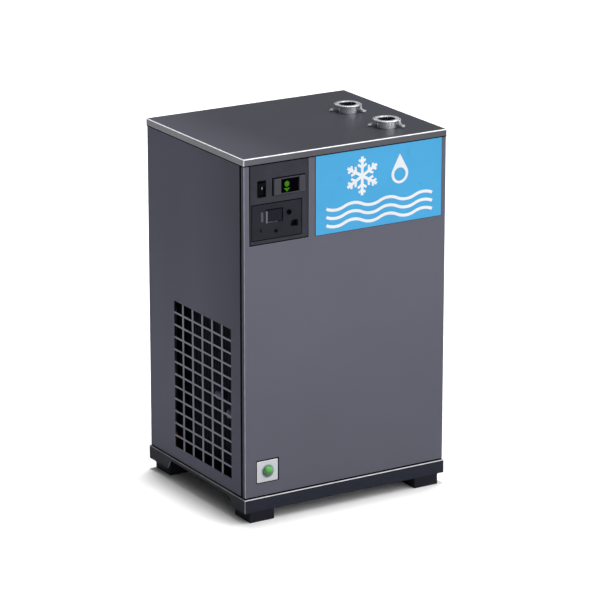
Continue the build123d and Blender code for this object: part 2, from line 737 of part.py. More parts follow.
def make_sign_emblem():
    """White pictogram for cold, dry air: snowflake, drop and three air lines."""
    face = FRONT - SIGN_THICKNESS
    shapes = [snowflake(), water_drop()]
    shapes += [air_wave(z) for z in WAVE_Z]
    plane = Plane(origin=(0, face, 0), x_dir=(1, 0, 0), z_dir=(0, -1, 0))
    return group(*[extrude(plane * shape, EMBLEM_THICKNESS) for shape in shapes])


TEST_PLATE_FACE = FRONT - 1.5


def make_test_button_plate():
    """Square bevelled plate round the drain test button."""
    plate = block(TEST_PLATE[0], (TEST_PLATE_FACE, FRONT), TEST_PLATE[1])
    plate = rounded(plate, Axis.Y, 1.5)
    plate = chamfer(plate.faces().sort_by(Axis.Y)[0].edges(), 0.8)
    return plate - rod((TEST_CENTRE[0], FRONT - 4, TEST_CENTRE[1]), (0, 1, 0), 13.4, 8)


def make_test_button_collar():
    """Collar and barrel of the test button, with the contact block behind the panel."""
    outline = [
        (12.3, -0.7),
        (12.7, -1.0),
        (14.4, -1.0),
        (14.75, -0.6),
        (14.75, 0),
        (13.3, 0),
        (13.3, 14),
        (5.3, 14),
        (5.3, 12.0),
        (12.3, 12.0),
    ]
    origin = (TEST_CENTRE[0], TEST_PLATE_FACE, TEST_CENTRE[1])
    collar = turned(outline, origin, (0, 1, 0))
    y = (TEST_PLATE_FACE + 14, TEST_PLATE_FACE + 25)
    contact = block(span(TEST_CENTRE[0], 30), y, span(TEST_CENTRE[1], 30))
    contact -= rod(origin, (0, 1, 0), 5.3, 22.5)
    return collar + contact


def make_test_button_lens():
    """Domed green push lens on a short plunger."""
    dome = 5.2
    side = -1.6
    start = (TEST_LENS_RADIUS, side)
    apex = (0, side - dome)
    sphere = (TEST_LENS_RADIUS**2 + dome**2) / (2 * dome)
    half_angle = math.asin(TEST_LENS_RADIUS / sphere) / 2
    bulge = (sphere * math.sin(half_angle), apex[1] + sphere * (1 - math.cos(half_angle)))
    outline = [
        Line((0, 18), (5.0, 18)),
        Line((5.0, 18), (5.0, 8.5)),
        Line((5.0, 8.5), (TEST_LENS_RADIUS, 8.5)),
        Line((TEST_LENS_RADIUS, 8.5), start),
        ThreePointArc(start, bulge, apex),
        Line(apex, (0, 18)),
    ]
    face = Plane.XZ * make_face(Curve() + outline)
    origin = (TEST_CENTRE[0], TEST_PLATE_FACE, TEST_CENTRE[1])
    return Plane(origin=origin, z_dir=(0, 1, 0)).location * revolve(face, axis=Axis.Z)


# ---------------------------------------------------------------- air couplings
def coupling_place(name):
    """Local frame of a coupling: on the floor's level, turned so that its cam arms lie along X."""
    return Pos(COUPLING_X, COUPLING_Y[name], 0) * Rot(0, 0, COUPLING_TURN)


def make_coupling_body(name):
    """Cam-lever coupling socket: neck, ring with two forked lugs, spigot through the lid."""
    seat = COUPLING_TOP - BORE_DEPTH
    cup_floor = seat - GASKET_THICKNESS
    ring_low = COUPLING_TOP - RING_THICKNESS
    outline = [
        (12.0, 770.0),
        (SPIGOT_RADIUS, 770.0),
        (SPIGOT_RADIUS, TOTAL_HEIGHT),
        (NECK_RADIUS, TOTAL_HEIGHT),
        (NECK_RADIUS, ring_low - 1.0),
        (NECK_RADIUS + 1.0, ring_low),
        (RING_RADIUS - 0.8, ring_low),
        (RING_RADIUS, ring_low + 0.8),
        (RING_RADIUS, COUPLING_TOP - 0.8),
        (RING_RADIUS - 0.8, COUPLING_TOP),
        (BORE_RADIUS + 0.6, COUPLING_TOP),
        (BORE_RADIUS, COUPLING_TOP - 0.6),
        (BORE_RADIUS, seat),
        (GASKET_RADIUS, seat),
        (GASKET_RADIUS, cup_floor),
        (12.0, cup_floor),
    ]
    body = turned(outline)
    fork_half = CAM_WIDTH / 2 + 0.3
    cheek = 2.7
    for side in (-1, 1):
        turn = Rot(0, 0, 0 if side > 0 else 180)
        lug = block((20.2, 30.4), span(0, 2 * (fork_half + cheek)), (807.5, COUPLING_TOP))
        lug = rounded(lug, Axis.Z, 2.0, lambda edge: edge.center().X > 30)
        lug = lug - rod((0, 0, 800), (0, 0, 1), NECK_RADIUS - 0.5, 30)
        fork = block((21.6, 40), span(0, 2 * fork_half), (800, ring_low))
        fork += block((24.8, 40), span(0, 2 * fork_half), (800, COUPLING_TOP + 1))
        window = block((17, 22), span(0, CAM_WIDTH + 1.0), (804.6, 813.6))
        pin_hole = rod((CAM_PIVOT[0], -10, CAM_PIVOT[1]), (0, 1, 0), CAM_PIN_RADIUS + 0.02, 20)
        body = body + turn * lug
        body = body - turn * fork
        body = body - turn * window
        body = body - turn * pin_hole
    return coupling_place(name) * body


def make_cam_arm(name, side):
    """Cam lever: an eye with a short nose, a leg hanging down and a flared thumb tab."""
    pivot_x, pivot_z = CAM_PIVOT
    eye = Pos(pivot_x, pivot_z) * Circle(3.1)
    nose = Pos(pivot_x - 4.6, pivot_z) * Rectangle(4.0, 2.6)
    leg_outline = [
        (pivot_x - 0.9, pivot_z - 1.0),
        (pivot_x + 3.1, pivot_z),
        (pivot_x + 6.2, pivot_z - 5.4),
        (pivot_x + 13.6, 802.6),
        (pivot_x + 13.6, 801.2),
        (pivot_x + 5.0, 802.2),
        (pivot_x + 2.2, pivot_z - 5.0),
    ]
    leg = make_face(Polyline(*leg_outline, close=True))
    side_view = Plane(origin=(0, CAM_WIDTH / 2, 0), x_dir=(1, 0, 0), z_dir=(0, -1, 0))
    arm = extrude(side_view * (eye + nose + leg), CAM_WIDTH)
    tab_outline = [
        (pivot_x + 6.6, 801.9),
        (pivot_x + 13.6, 801.2),
        (pivot_x + 13.6, 802.6),
        (pivot_x + 9.0, 804.1),
    ]
    wide = Plane(origin=(0, CAM_WIDTH, 0), x_dir=(1, 0, 0), z_dir=(0, -1, 0))
    arm += extrude(wide * make_face(Polyline(*tab_outline, close=True)), 2 * CAM_WIDTH)
    arm -= rod((pivot_x, -10, pivot_z), (0, 1, 0), CAM_PIN_RADIUS + 0.05, 20)
    turn = Rot(0, 0, 0 if side > 0 else 180)
    return coupling_place(name) * (turn * arm)


def make_cam_pins():
    """Four pins on which the cam levers turn."""
    pins = []
    length = CAM_WIDTH + 0.6 + 2 * 2.7
    for name in COUPLING_Y:
        for side in (-1, 1):
            start = (side * CAM_PIVOT[0], -length / 2, CAM_PIVOT[1])
            pin = rod(start, (0, 1, 0), CAM_PIN_RADIUS, length)
            pins.append(coupling_place(name) * pin)
    return group(*pins)


def make_coupling_gaskets():
    """Flat ring gasket at the bottom of each coupling socket."""
    high = COUPLING_TOP - BORE_DEPTH
    low = high - GASKET_THICKNESS
    outer = GASKET_RADIUS - 0.1
    gaskets = []
    for name in COUPLING_Y:
        ring = turned([(13.0, low), (outer, low), (outer, high), (13.0, high)])
        gaskets.append(coupling_place(name) * ring)
    return group(*gaskets)


def make_coupling_locknuts():
    """Thin hexagon nut under the lid on each coupling's spigot."""
    nuts = []
    for name in COUPLING_Y:
        nut = extrude(RegularPolygon(23.0, 6, major_radius=False), 9.0)
        nut = Pos(0, 0, PANEL_TOP - 9.0) * nut
        nut -= rod((0, 0, 700), (0, 0, 1), SPIGOT_RADIUS + 0.05, 200)
        nuts.append(coupling_place(name) * nut)
    return group(*nuts)


# ---------------------------------------------------------------- inner circuit
def bent_pipe(points, radius, bend):
    """Round pipe of straight runs joined by equal bends."""
    path = FilletPolyline(*points, radius=bend) if len(points) > 2 else Line(*points)
    start = Vector(*points[0])
    direction = Vector(*points[1]) - start
    section = Plane(origin=start, z_dir=direction) * Circle(radius)
    return sweep(section, path=path)


def make_heat_exchanger():
    """Insulated block that holds the air-to-air and the air-to-refrigerant exchangers."""
    core = block(*EXCHANGER)
    core = rounded(core, Axis.Z, 8.0)
    for z in (455.0, 645.0):
        band_x = (EXCHANGER[0][0] - 1, EXCHANGER[0][1] + 1)
        band_y = (EXCHANGER[1][0] - 1, EXCHANGER[1][1] + 1)
        core += rounded(block(band_x, band_y, span(z, 18.0)), Axis.Z, 9.0)
    return core


def make_air_pipes():
    """Air inlet and outlet pipes, and the two links to the moisture separator."""
    pipes = []
    for y in COUPLING_Y.values():
        outline = [(11.0, 700.0), (14.0, 700.0), (14.0, 770.0), (11.0, 770.0)]
        pipes.append(turned(outline, (COUPLING_X, y, 0)))
    length = SEPARATOR_CENTRE[1] - SEPARATOR_RADIUS - EXCHANGER[1][1]
    for z in (520.0, 600.0):
        tube = rod((COUPLING_X, EXCHANGER[1][1], z), (0, 1, 0), 10.0, length)
        pipes.append(tube)
    return group(*pipes)


def make_moisture_separator():
    """Upright separator vessel with two flat pads for its air links and a drain neck."""
    low, high = 400.0, 640.0
    wall = 4.0
    outline = [
        (0, low - 12),
        (6, low - 12),
        (6, low),
        (SEPARATOR_RADIUS - 10, low),
        (SEPARATOR_RADIUS, low + 12),
        (SEPARATOR_RADIUS, high - 12),
        (SEPARATOR_RADIUS - 10, high),
        (0, high),
        (0, high - wall),
        (SEPARATOR_RADIUS - 11, high - wall),
        (SEPARATOR_RADIUS - wall, high - 13),
        (SEPARATOR_RADIUS - wall, low + 13),
        (SEPARATOR_RADIUS - 11, low + wall),
        (0, low + wall),
    ]
    vessel = turned(outline, (*SEPARATOR_CENTRE, 0))
    pad_y = SEPARATOR_CENTRE[1] - SEPARATOR_RADIUS
    for z in (520.0, 600.0):
        vessel += rod((COUPLING_X, pad_y, z), (0, 1, 0), 14.0, 12.0)
    return vessel


def make_drain_valve():
    """Solenoid drain valve: brass block under the separator, with its coil and its hose spigot."""
    x, y = SEPARATOR_CENTRE
    body = block(span(x, 30), span(y, 30), (360.0, 382.0))
    neck = rod((x, y, 382.0), (0, 0, 1), 6.0, 6.0)
    stem = rod((x - 15, y, 371.0), (-1, 0, 0), 9.0, 6.0)
    coil = rounded(block((x - 58, x - 21), span(y, 36), span(371.0, 36)), Axis.X, 4.0)
    outlet = rod((x, y + 15, 371.0), (0, 1, 0), 5.0, 5.0)
    return body + neck + stem + coil + outlet


def make_drain_hose():
    """Condensate hose from the drain valve down to the port in the rear panel."""
    x, y = SEPARATOR_CENTRE
    rear_end = REAR - 24.0
    points = [
        (x, y + 20.0, 371.0),
        (x, y + 40.0, 371.0),
        (x, y + 40.0, DRAIN_PORT[1]),
        (x, rear_end, DRAIN_PORT[1]),
    ]
    return bent_pipe(points, PIPE_RADIUS, 14.0)


def make_drain_port():
    """Push-in bulkhead port for the condensate tube."""
    outline = [
        (0, -24.0),
        (7.0, -24.0),
        (7.0, -12.0),
        (8.0, -12.0),
        (8.0, 0),
        (12.0, 0),
        (12.0, 4.0),
        (10.0, 5.0),
        (10.0, 8.5),
        (8.8, 9.7),
        (5.1, 9.7),
        (5.1, -14.0),
        (0, -14.0),
    ]
    port = turned(outline, (DRAIN_PORT[0], REAR, DRAIN_PORT[1]), (0, 1, 0))
    nut = extrude(RegularPolygon(12.5, 6, major_radius=False), 5.0)
    nut -= rod((0, 0, -1), (0, 0, 1), 8.05, 10)
    place = Plane(origin=(DRAIN_PORT[0], INSIDE_Y, DRAIN_PORT[1]), z_dir=(0, -1, 0))
    return group(port, place.location * nut)


def make_cable_gland():
    """Low cable gland in the rear panel, empty, with its locknut inside."""
    outline = [
        (5.0, -12.0),
        (8.0, -12.0),
        (8.0, 0),
        (13.0, 0),
        (13.0, 3.5),
        (11.5, 4.0),
        (11.5, 7.5),
        (8.0, 10.5),
        (5.0, 10.5),
    ]
    gland = turned(outline, (GLAND_PORT[0], REAR, GLAND_PORT[1]), (0, 1, 0))
    nut = extrude(RegularPolygon(12.5, 6, major_radius=False), 5.0)
    nut -= rod((0, 0, -1), (0, 0, 1), 8.05, 10)
    place = Plane(origin=(GLAND_PORT[0], INSIDE_Y, GLAND_PORT[1]), z_dir=(0, -1, 0))
    return group(gland, place.location * nut)


COMPRESSOR_FOOT_RADIUS = 88.0
COMPRESSOR_FOOT_ANGLES = (45, 135, 225, 315)
COMPRESSOR_BASE_Z = 72.0
SUCTION_STUB = (120.0, -110.0)
DISCHARGE_STUB = (60.0, -75.0)
STUB_TOP = 300.0


def compressor_feet():
    """Places of the compressor's four mounting points."""
    x, y = COMPRESSOR_CENTRE
    places = []
    for angle in COMPRESSOR_FOOT_ANGLES:
        turn = math.radians(angle)
        foot_x = x + COMPRESSOR_FOOT_RADIUS * math.cos(turn)
        foot_y = y + COMPRESSOR_FOOT_RADIUS * math.sin(turn)
        places.append((foot_x, foot_y))
    return places


def make_compressor():
    """Hermetic compressor: welded shell with domed ends, foot plate, stubs and terminal cover."""
    low, high = COMPRESSOR_BASE_Z + 3.0, 290.0
    radius = COMPRESSOR_RADIUS
    wall = 4.0
    outline = [
        (0, low),
        (radius - 25, low),
        (radius - 6, low + 10),
        (radius, low + 30),
        (radius, high - 55),
        (radius - 10, high - 25),
        (radius - 35, high - 5),
        (0, high),
        (0, high - wall),
        (radius - 36, high - 5 - wall),
        (radius - 13, high - 28),
        (radius - wall, high - 56),
        (radius - wall, low + 31),
        (radius - 9, low + 13),
        (radius - 26, low + wall),
        (0, low + wall),
    ]
    shell = turned(outline, (*COMPRESSOR_CENTRE, 0))
    plate_low = COMPRESSOR_BASE_Z
    plate = Pos(*COMPRESSOR_CENTRE, plate_low) * extrude(Rectangle(120, 120), 3.0)
    for place in compressor_feet():
        plate += rod((*place, plate_low), (0, 0, 1), 16.0, 3.0)
        plate -= rod((*place, plate_low - 1), (0, 0, 1), 5.0, 5.0)
    shell += plate
    for stub in (SUCTION_STUB, DISCHARGE_STUB):
        shell += rod((*stub, 268.0), (0, 0, 1), 7.0, STUB_TOP - 268.0)
    cover_x = (COMPRESSOR_CENTRE[0] - 20, COMPRESSOR_CENTRE[0] + 20)
    front = COMPRESSOR_CENTRE[1] - radius
    shell += rounded(block(cover_x, (front - 14, front + 3), (150.0, 210.0)), Axis.Y, 3.0)
    return shell


def make_compressor_pump():
    """Motor and pump block sprung inside the compressor's shell."""
    x, y = COMPRESSOR_CENTRE
    outline = [(0, 84), (38, 84), (44, 92), (44, 170), (58, 174), (58, 232), (0, 236)]
    return turned(outline, (x, y, 0))


def make_compressor_grommets():
    """Rubber grommets that carry the compressor on the base."""
    grommets = []
    for place in compressor_feet():
        outline = [(4.4, BASE_TOP), (12.0, BASE_TOP), (10.0, BASE_TOP + 8.5)]
        outline += [(12.0, COMPRESSOR_BASE_Z), (4.4, COMPRESSOR_BASE_Z)]
        grommets.append(turned(outline, (*place, 0)))
    return group(*grommets)


def make_compressor_bolts():
    """Bolts through the grommets."""
    top = COMPRESSOR_BASE_Z + 3.0
    bolts = [
        hex_bolt((*place, top), (0, 0, 1), 13.0, 5.3, 4.0, top - BASE_TOP)
        for place in compressor_feet()
    ]
    return group(*bolts)


SERVICE_PORTS = ((-111.0, 217.0), (-64.5, 247.0))
FIN_COUNT = 48
FIN_THICKNESS = 1.0
FIN_DEPTH = 30.0
FIN_SHEET = 4.0
BEND_COUNT = 7
BEND_PITCH = 48.0
BEND_RADIUS = 12.0


def make_condenser_fins():
    """Condenser fin pack: upright fins that stand on a thin back sheet."""
    (_, x_high), (y_low, y_high), z = CONDENSER
    pitch = (y_high - y_low - FIN_THICKNESS) / (FIN_COUNT - 1)
    root = x_high - FIN_SHEET
    tip = root - FIN_DEPTH
    outline = [(x_high, y_low), (x_high, y_high)]
    for index in reversed(range(FIN_COUNT)):
        near = y_low + index * pitch
        far = near + FIN_THICKNESS
        outline += [(root, far), (tip, far), (tip, near), (root, near)]
    return Pos(0, 0, z[0]) * prism(outline, Plane.XY, z[1] - z[0])


def make_condenser_frame():
    """Folded end plates of the condenser, standing on the base pan."""
    (x_low, x_high), (y_low, y_high), (_, z_high) = CONDENSER
    plates = []
    for y in ((y_low - 3, y_low - 1), (y_high + 1, y_high + 3)):
        plates.append(block((x_low, x_high), y, (BASE_TOP, z_high + 6)))
    top = block((x_low, x_high), (y_low - 3, y_high + 3), (z_high + 6, z_high + 8))
    return plates[0] + plates[1] + top


def make_condenser_tubes():
    """Return bends and the two stubs of the condenser coil."""
    (x_low, x_high), (y_low, y_high), (z_low, _) = CONDENSER
    half = PIPE_RADIUS - 1
    ring = Circle(BEND_RADIUS + half) - Circle(BEND_RADIUS - half)
    reach = BEND_RADIUS + 2 * half
    bends = []
    for index in range(1, BEND_COUNT):
        for end, direction in ((y_low - 3, -1), (y_high + 3, 1)):
            z = z_low + 30 + BEND_PITCH * (index - 0.25 * (1 + direction))
            loop = extrude(Plane.YZ * Pos(end, z) * ring, half, both=True)
            outside = tuple(sorted((end, end + direction * reach)))
            bend = loop & block((-half, half), outside, span(z, 2 * reach))
            bends.append(Pos((x_low + x_high) / 2, 0, 0) * bend)
    return group(*bends)


def make_service_ports():
    """Two service ports with domed caps, standing on the condenser's fins."""
    caps = []
    for y, z in SERVICE_PORTS:
        outline = [(0, 0), (5.0, 0.7), (8.5, 2.8), (10.5, 6.0), (10.5, 9.0)]
        outline += [(4.0, 9.0), (4.0, 12.0), (0, 12.0)]
        caps.append(turned(outline, (CONDENSER[0][0] - 6, y, z), (1, 0, 0)))
    return group(*caps)


SHROUD_DEPTH = 32.0


def make_fan_shroud():
    """Square shroud plate behind the condenser with a round inlet ring."""
    x_low = CONDENSER[0][1]
    y = (CONDENSER[1][0], CONDENSER[1][1])
    z = (BASE_TOP, CONDENSER[2][1])
    shroud = block((x_low, x_low + SHROUD_DEPTH), y, z)
    wall = 2.0
    inner = block(
        (x_low - 1, x_low + SHROUD_DEPTH - wall),
        (y[0] + wall, y[1] - wall),
        (z[0] + wall, z[1] - wall),
    )
    shroud -= inner
    ring_outer = rod((x_low + 6, *FAN_CENTRE), (1, 0, 0), FAN_RADIUS + 7, SHROUD_DEPTH - 6)
    ring_inner = rod((x_low - 1, *FAN_CENTRE), (1, 0, 0), FAN_RADIUS + 5, SHROUD_DEPTH + 20)
    shroud = shroud + ring_outer - ring_inner
    for turn in range(3):
        spoke = block((x_low + 54, x_low + 58), (36, FAN_RADIUS + 9), span(0, 10))
        post = block((x_low + SHROUD_DEPTH, x_low + 58), (FAN_RADIUS + 6, FAN_RADIUS + 12), span(0, 10))
        arm = Pos(0, *FAN_CENTRE) * (Rot(turn * 120 + 30, 0, 0) * (spoke + post))
        shroud += arm
    hub = rod((x_low + 54, *FAN_CENTRE), (1, 0, 0), 40.0, 4.0)
    hub -= rod((x_low + 50, *FAN_CENTRE), (1, 0, 0), 5.0, 12.0)
    return shroud + hub


FAN_BLADES = 5


def make_fan_impeller():
    """Axial impeller: a hub with five pitched blades."""
    x_low = CONDENSER[0][1] + 10
    hub = rod((x_low, *FAN_CENTRE), (1, 0, 0), 28.0, 24.0)
    hub -= rod((x_low + 8, *FAN_CENTRE), (1, 0, 0), 4.03, 30.0)
    for index in range(FAN_BLADES):
        blade = Rot(0, 28, 0) * Box(2.0, FAN_RADIUS, 58)
        blade = Pos(0, FAN_RADIUS / 2 + 24, 0) * blade
        turned_blade = Rot(index * 360 / FAN_BLADES, 0, 0) * blade
        hub += Pos(x_low + 12, *FAN_CENTRE) * turned_blade
    sweep_limit = rod((x_low - 30, *FAN_CENTRE), (1, 0, 0), FAN_RADIUS, 80.0)
    return hub & sweep_limit


def make_fan_motor():
    """Fan motor with its shaft, bolted to the shroud's spokes."""
    x_low = CONDENSER[0][1] + 58
    outline = [(0, 0), (36, 0), (40, 4), (40, 46), (34, 52), (0, 52)]
    motor = turned(outline, (x_low, *FAN_CENTRE), (1, 0, 0))
    shaft_start = CONDENSER[0][1] + 19
    return motor + rod((shaft_start, *FAN_CENTRE), (1, 0, 0), 4.0, x_low - shaft_start)


DRIER_CENTRE = (-20.0, 150.0)


def make_filter_drier():
    """Refrigerant filter drier, a small upright copper vessel."""
    outline = [
        (0, 120),
        (6, 120),
        (6, 128),
        (20, 142),
        (20, 238),
        (6, 252),
        (6, 260),
        (0, 260),
    ]
    return turned(outline, (*DRIER_CENTRE, 0))


def make_refrigerant_pipes():
    """Copper lines: discharge, liquid, feed to the exchanger and suction."""
    condenser_x = sum(CONDENSER[0]) / 2
    top = CONDENSER[2][1] + 8
    drier_x, drier_y = DRIER_CENTRE
    bend = 16.0
    discharge = [
        (*DISCHARGE_STUB, STUB_TOP),
        (*DISCHARGE_STUB, 490.0),
        (DISCHARGE_STUB[0], 70.0, 490.0),
        (condenser_x, 70.0, 490.0),
        (condenser_x, 70.0, top),
    ]
    liquid = [
        (condenser_x, CONDENSER[1][1] + 3, 80.0),
        (condenser_x, 180.0, 80.0),
        (drier_x, 180.0, 80.0),
        (drier_x, drier_y, 80.0),
        (drier_x, drier_y, 120.0),
    ]
    feed = [
        (drier_x, drier_y, 260.0),
        (drier_x, drier_y, 560.0),
        (drier_x, -20.0, 560.0),
        (EXCHANGER[0][0], -20.0, 560.0),
    ]
    suction = [(*SUCTION_STUB, STUB_TOP), (*SUCTION_STUB, EXCHANGER[2][0])]
    pipes = [
        bent_pipe(discharge, PIPE_RADIUS, bend),
        bent_pipe(liquid, PIPE_RADIUS, 12.0),
        bent_pipe(feed, 3.0, bend),
        bent_pipe(suction, 6.0, bend),
    ]
    return group(*pipes)


def build_nodes():
    """Make every sub-part once and file it under its node name."""
    NODES["base_frame"] = make_base_frame()
    for side_y, row in ((-1, "front"), (1, "rear")):
        for side_x, column in ((-1, "left"), (1, "right")):
            NODES[f"foot_{row}_{column}"] = make_foot(side_x, side_y)
    NODES["mounting_bolts"] = group(make_foot_bolts(), make_compressor_bolts())
    NODES["corner_posts"] = make_corner_posts()
    NODES["front_panel"] = make_front_panel()
    NODES["left_panel"] = make_side_panel(-1)
    NODES["right_panel"] = make_side_panel(1)
    NODES["left_grille"] = make_grille(-1)
    NODES["right_grille"] = make_grille(1)
    NODES["rear_panel"] = make_rear_panel()
    NODES["cabinet_screws"] = group(make_panel_screws(), make_lid_screws())
    NODES["top_cover"] = make_top_cover()
    NODES["control_fascia"] = make_control_fascia()
    NODES["control_box"] = make_control_box()
    NODES["switch_bezel"] = make_switch_bezel()
    NODES["switch_rocker"] = make_switch_rocker()
    NODES["controller_housing"] = make_controller_housing()
    NODES["controller_window"] = make_controller_window()
    NODES["controller_lamps"] = make_controller_lamps()
    NODES["timer_module"] = make_timer_module()
    NODES["timer_screen"] = make_timer_screen()
    NODES["timer_level_bar"] = make_timer_level_bar()
    NODES["timer_knob"] = make_timer_knob()
    NODES["reset_button"] = make_reset_button()
    NODES["alarm_socket"] = make_alarm_socket()
    NODES["sign_plate"] = make_sign_plate()
    NODES["sign_emblem"] = make_sign_emblem()
    NODES["test_button_plate"] = make_test_button_plate()
    NODES["test_button_collar"] = make_test_button_collar()
    NODES["test_button_lens"] = make_test_button_lens()
    for name in COUPLING_Y:
        NODES[f"{name}_coupling_body"] = make_coupling_body(name)
        for side, word in ((-1, "left"), (1, "right")):
            NODES[f"{name}_cam_arm_{word}"] = make_cam_arm(name, side)
    NODES["cam_pins"] = make_cam_pins()
    NODES["coupling_gaskets"] = make_coupling_gaskets()
    NODES["coupling_locknuts"] = make_coupling_locknuts()
    NODES["heat_exchanger"] = make_heat_exchanger()
    NODES["air_pipes"] = make_air_pipes()
    NODES["moisture_separator"] = make_moisture_separator()
    NODES["drain_valve"] = make_drain_valve()
    NODES["drain_hose"] = make_drain_hose()
    NODES["drain_port"] = make_drain_port()
    NODES["cable_gland"] = make_cable_gland()
    NODES["compressor_shell"] = make_compressor()
    NODES["compressor_pump"] = make_compressor_pump()
    NODES["compressor_grommets"] = make_compressor_grommets()
    NODES["condenser_fins"] = make_condenser_fins()
    NODES["condenser_frame"] = make_condenser_frame()
    NODES["condenser_tubes"] = group(make_condenser_tubes(), make_service_ports())
    NODES["fan_shroud"] = make_fan_shroud()
    NODES["fan_impeller"] = make_fan_impeller()
    NODES["fan_motor"] = make_fan_motor()
    NODES["filter_drier"] = make_filter_drier()
    NODES["refrigerant_pipes"] = make_refrigerant_pipes()


build_nodes()
os.makedirs("parts", exist_ok=True)
for node, shape in NODES.items():
    export_step(shape, f"parts/{node}.step")
print(len(NODES), "nodes")
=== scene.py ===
"""Looks of the refrigerated air dryer: finishes, finer meshes, floor, light and camera.

Metres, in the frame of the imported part: +Z up, the front faces -Y, the origin on the floor.
The small pieces are laid out in millimetres, and new_piece turns them into metres.
"""

import json
import math

import bpy
from mathutils import Matrix, Vector


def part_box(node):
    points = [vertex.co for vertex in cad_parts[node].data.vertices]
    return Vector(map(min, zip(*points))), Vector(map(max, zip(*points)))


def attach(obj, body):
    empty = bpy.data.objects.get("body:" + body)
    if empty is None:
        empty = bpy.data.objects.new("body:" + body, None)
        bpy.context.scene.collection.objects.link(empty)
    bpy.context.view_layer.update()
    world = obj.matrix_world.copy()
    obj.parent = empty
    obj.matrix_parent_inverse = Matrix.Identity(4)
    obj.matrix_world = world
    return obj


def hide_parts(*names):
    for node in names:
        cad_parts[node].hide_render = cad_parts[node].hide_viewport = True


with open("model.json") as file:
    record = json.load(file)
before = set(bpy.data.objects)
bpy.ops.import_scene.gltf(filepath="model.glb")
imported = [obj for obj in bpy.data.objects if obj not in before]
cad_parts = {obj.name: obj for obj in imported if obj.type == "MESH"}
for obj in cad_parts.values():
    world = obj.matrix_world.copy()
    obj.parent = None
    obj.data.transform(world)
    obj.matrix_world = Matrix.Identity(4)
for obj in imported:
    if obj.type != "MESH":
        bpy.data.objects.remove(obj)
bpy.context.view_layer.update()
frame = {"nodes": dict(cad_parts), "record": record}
NODES = frame["nodes"]
MM = 0.001


# ---------------------------------------------------------------- shader helpers
FINISHES = {}
NOISE_SPAN = (0.3, 0.7)  # where most values of a noise lie
CELL_SPAN = (0.0, 0.6)  # where most distances between cells lie


def tone(red, green, blue):
    """Linear colour from everyday 0-255 screen values."""

    def linear(value):
        share = value / 255
        return share / 12.92 if share <= 0.04045 else ((share + 0.055) / 1.055) ** 2.4

    return (linear(red), linear(green), linear(blue), 1.0)


def shade(colour, factor):
    """The same colour, darker or lighter."""
    return tuple(min(1.0, part * factor) for part in colour[:3]) + (1.0,)


class Nodes:
    """A node tree, with short calls for adding and joining nodes."""

    def __init__(self, tree):
        self.tree = tree

    def add(self, kind, inputs=None, **settings):
        """New node with its settings, and with a value or a link on each named input."""
        node = self.tree.nodes.new(kind)
        for key, value in settings.items():
            setattr(node, key, value)
        for key, value in (inputs or {}).items():
            self.feed(value, node.inputs[key])
        return node

    def feed(self, value, socket):
        """Link an output to a socket, or set the socket to a fixed value."""
        if isinstance(value, bpy.types.NodeSocket):
            self.tree.links.new(value, socket)
        else:
            socket.default_value = value

    def part(self, vector, axis):
        """One coordinate of a vector."""
        return self.add("ShaderNodeSeparateXYZ", {"Vector": vector}).outputs[axis]

    def remap(self, value, source, target, smooth=False):
        """Carry a value from one range to another, without going past it."""
        inputs = {"Value": value, "From Min": source[0], "From Max": source[1]}
        inputs.update({"To Min": target[0], "To Max": target[1]})
        kind = "SMOOTHSTEP" if smooth else "LINEAR"
        return self.add("ShaderNodeMapRange", inputs, interpolation_type=kind).outputs["Result"]

    def calculate(self, operation, first, second=0.0):
        """Result of one Math node."""
        return self.add("ShaderNodeMath", {0: first, 1: second}, operation=operation).outputs["Value"]

    def product(self, first, *others):
        """All the values multiplied together."""
        for value in others:
            first = self.calculate("MULTIPLY", first, value)
        return first


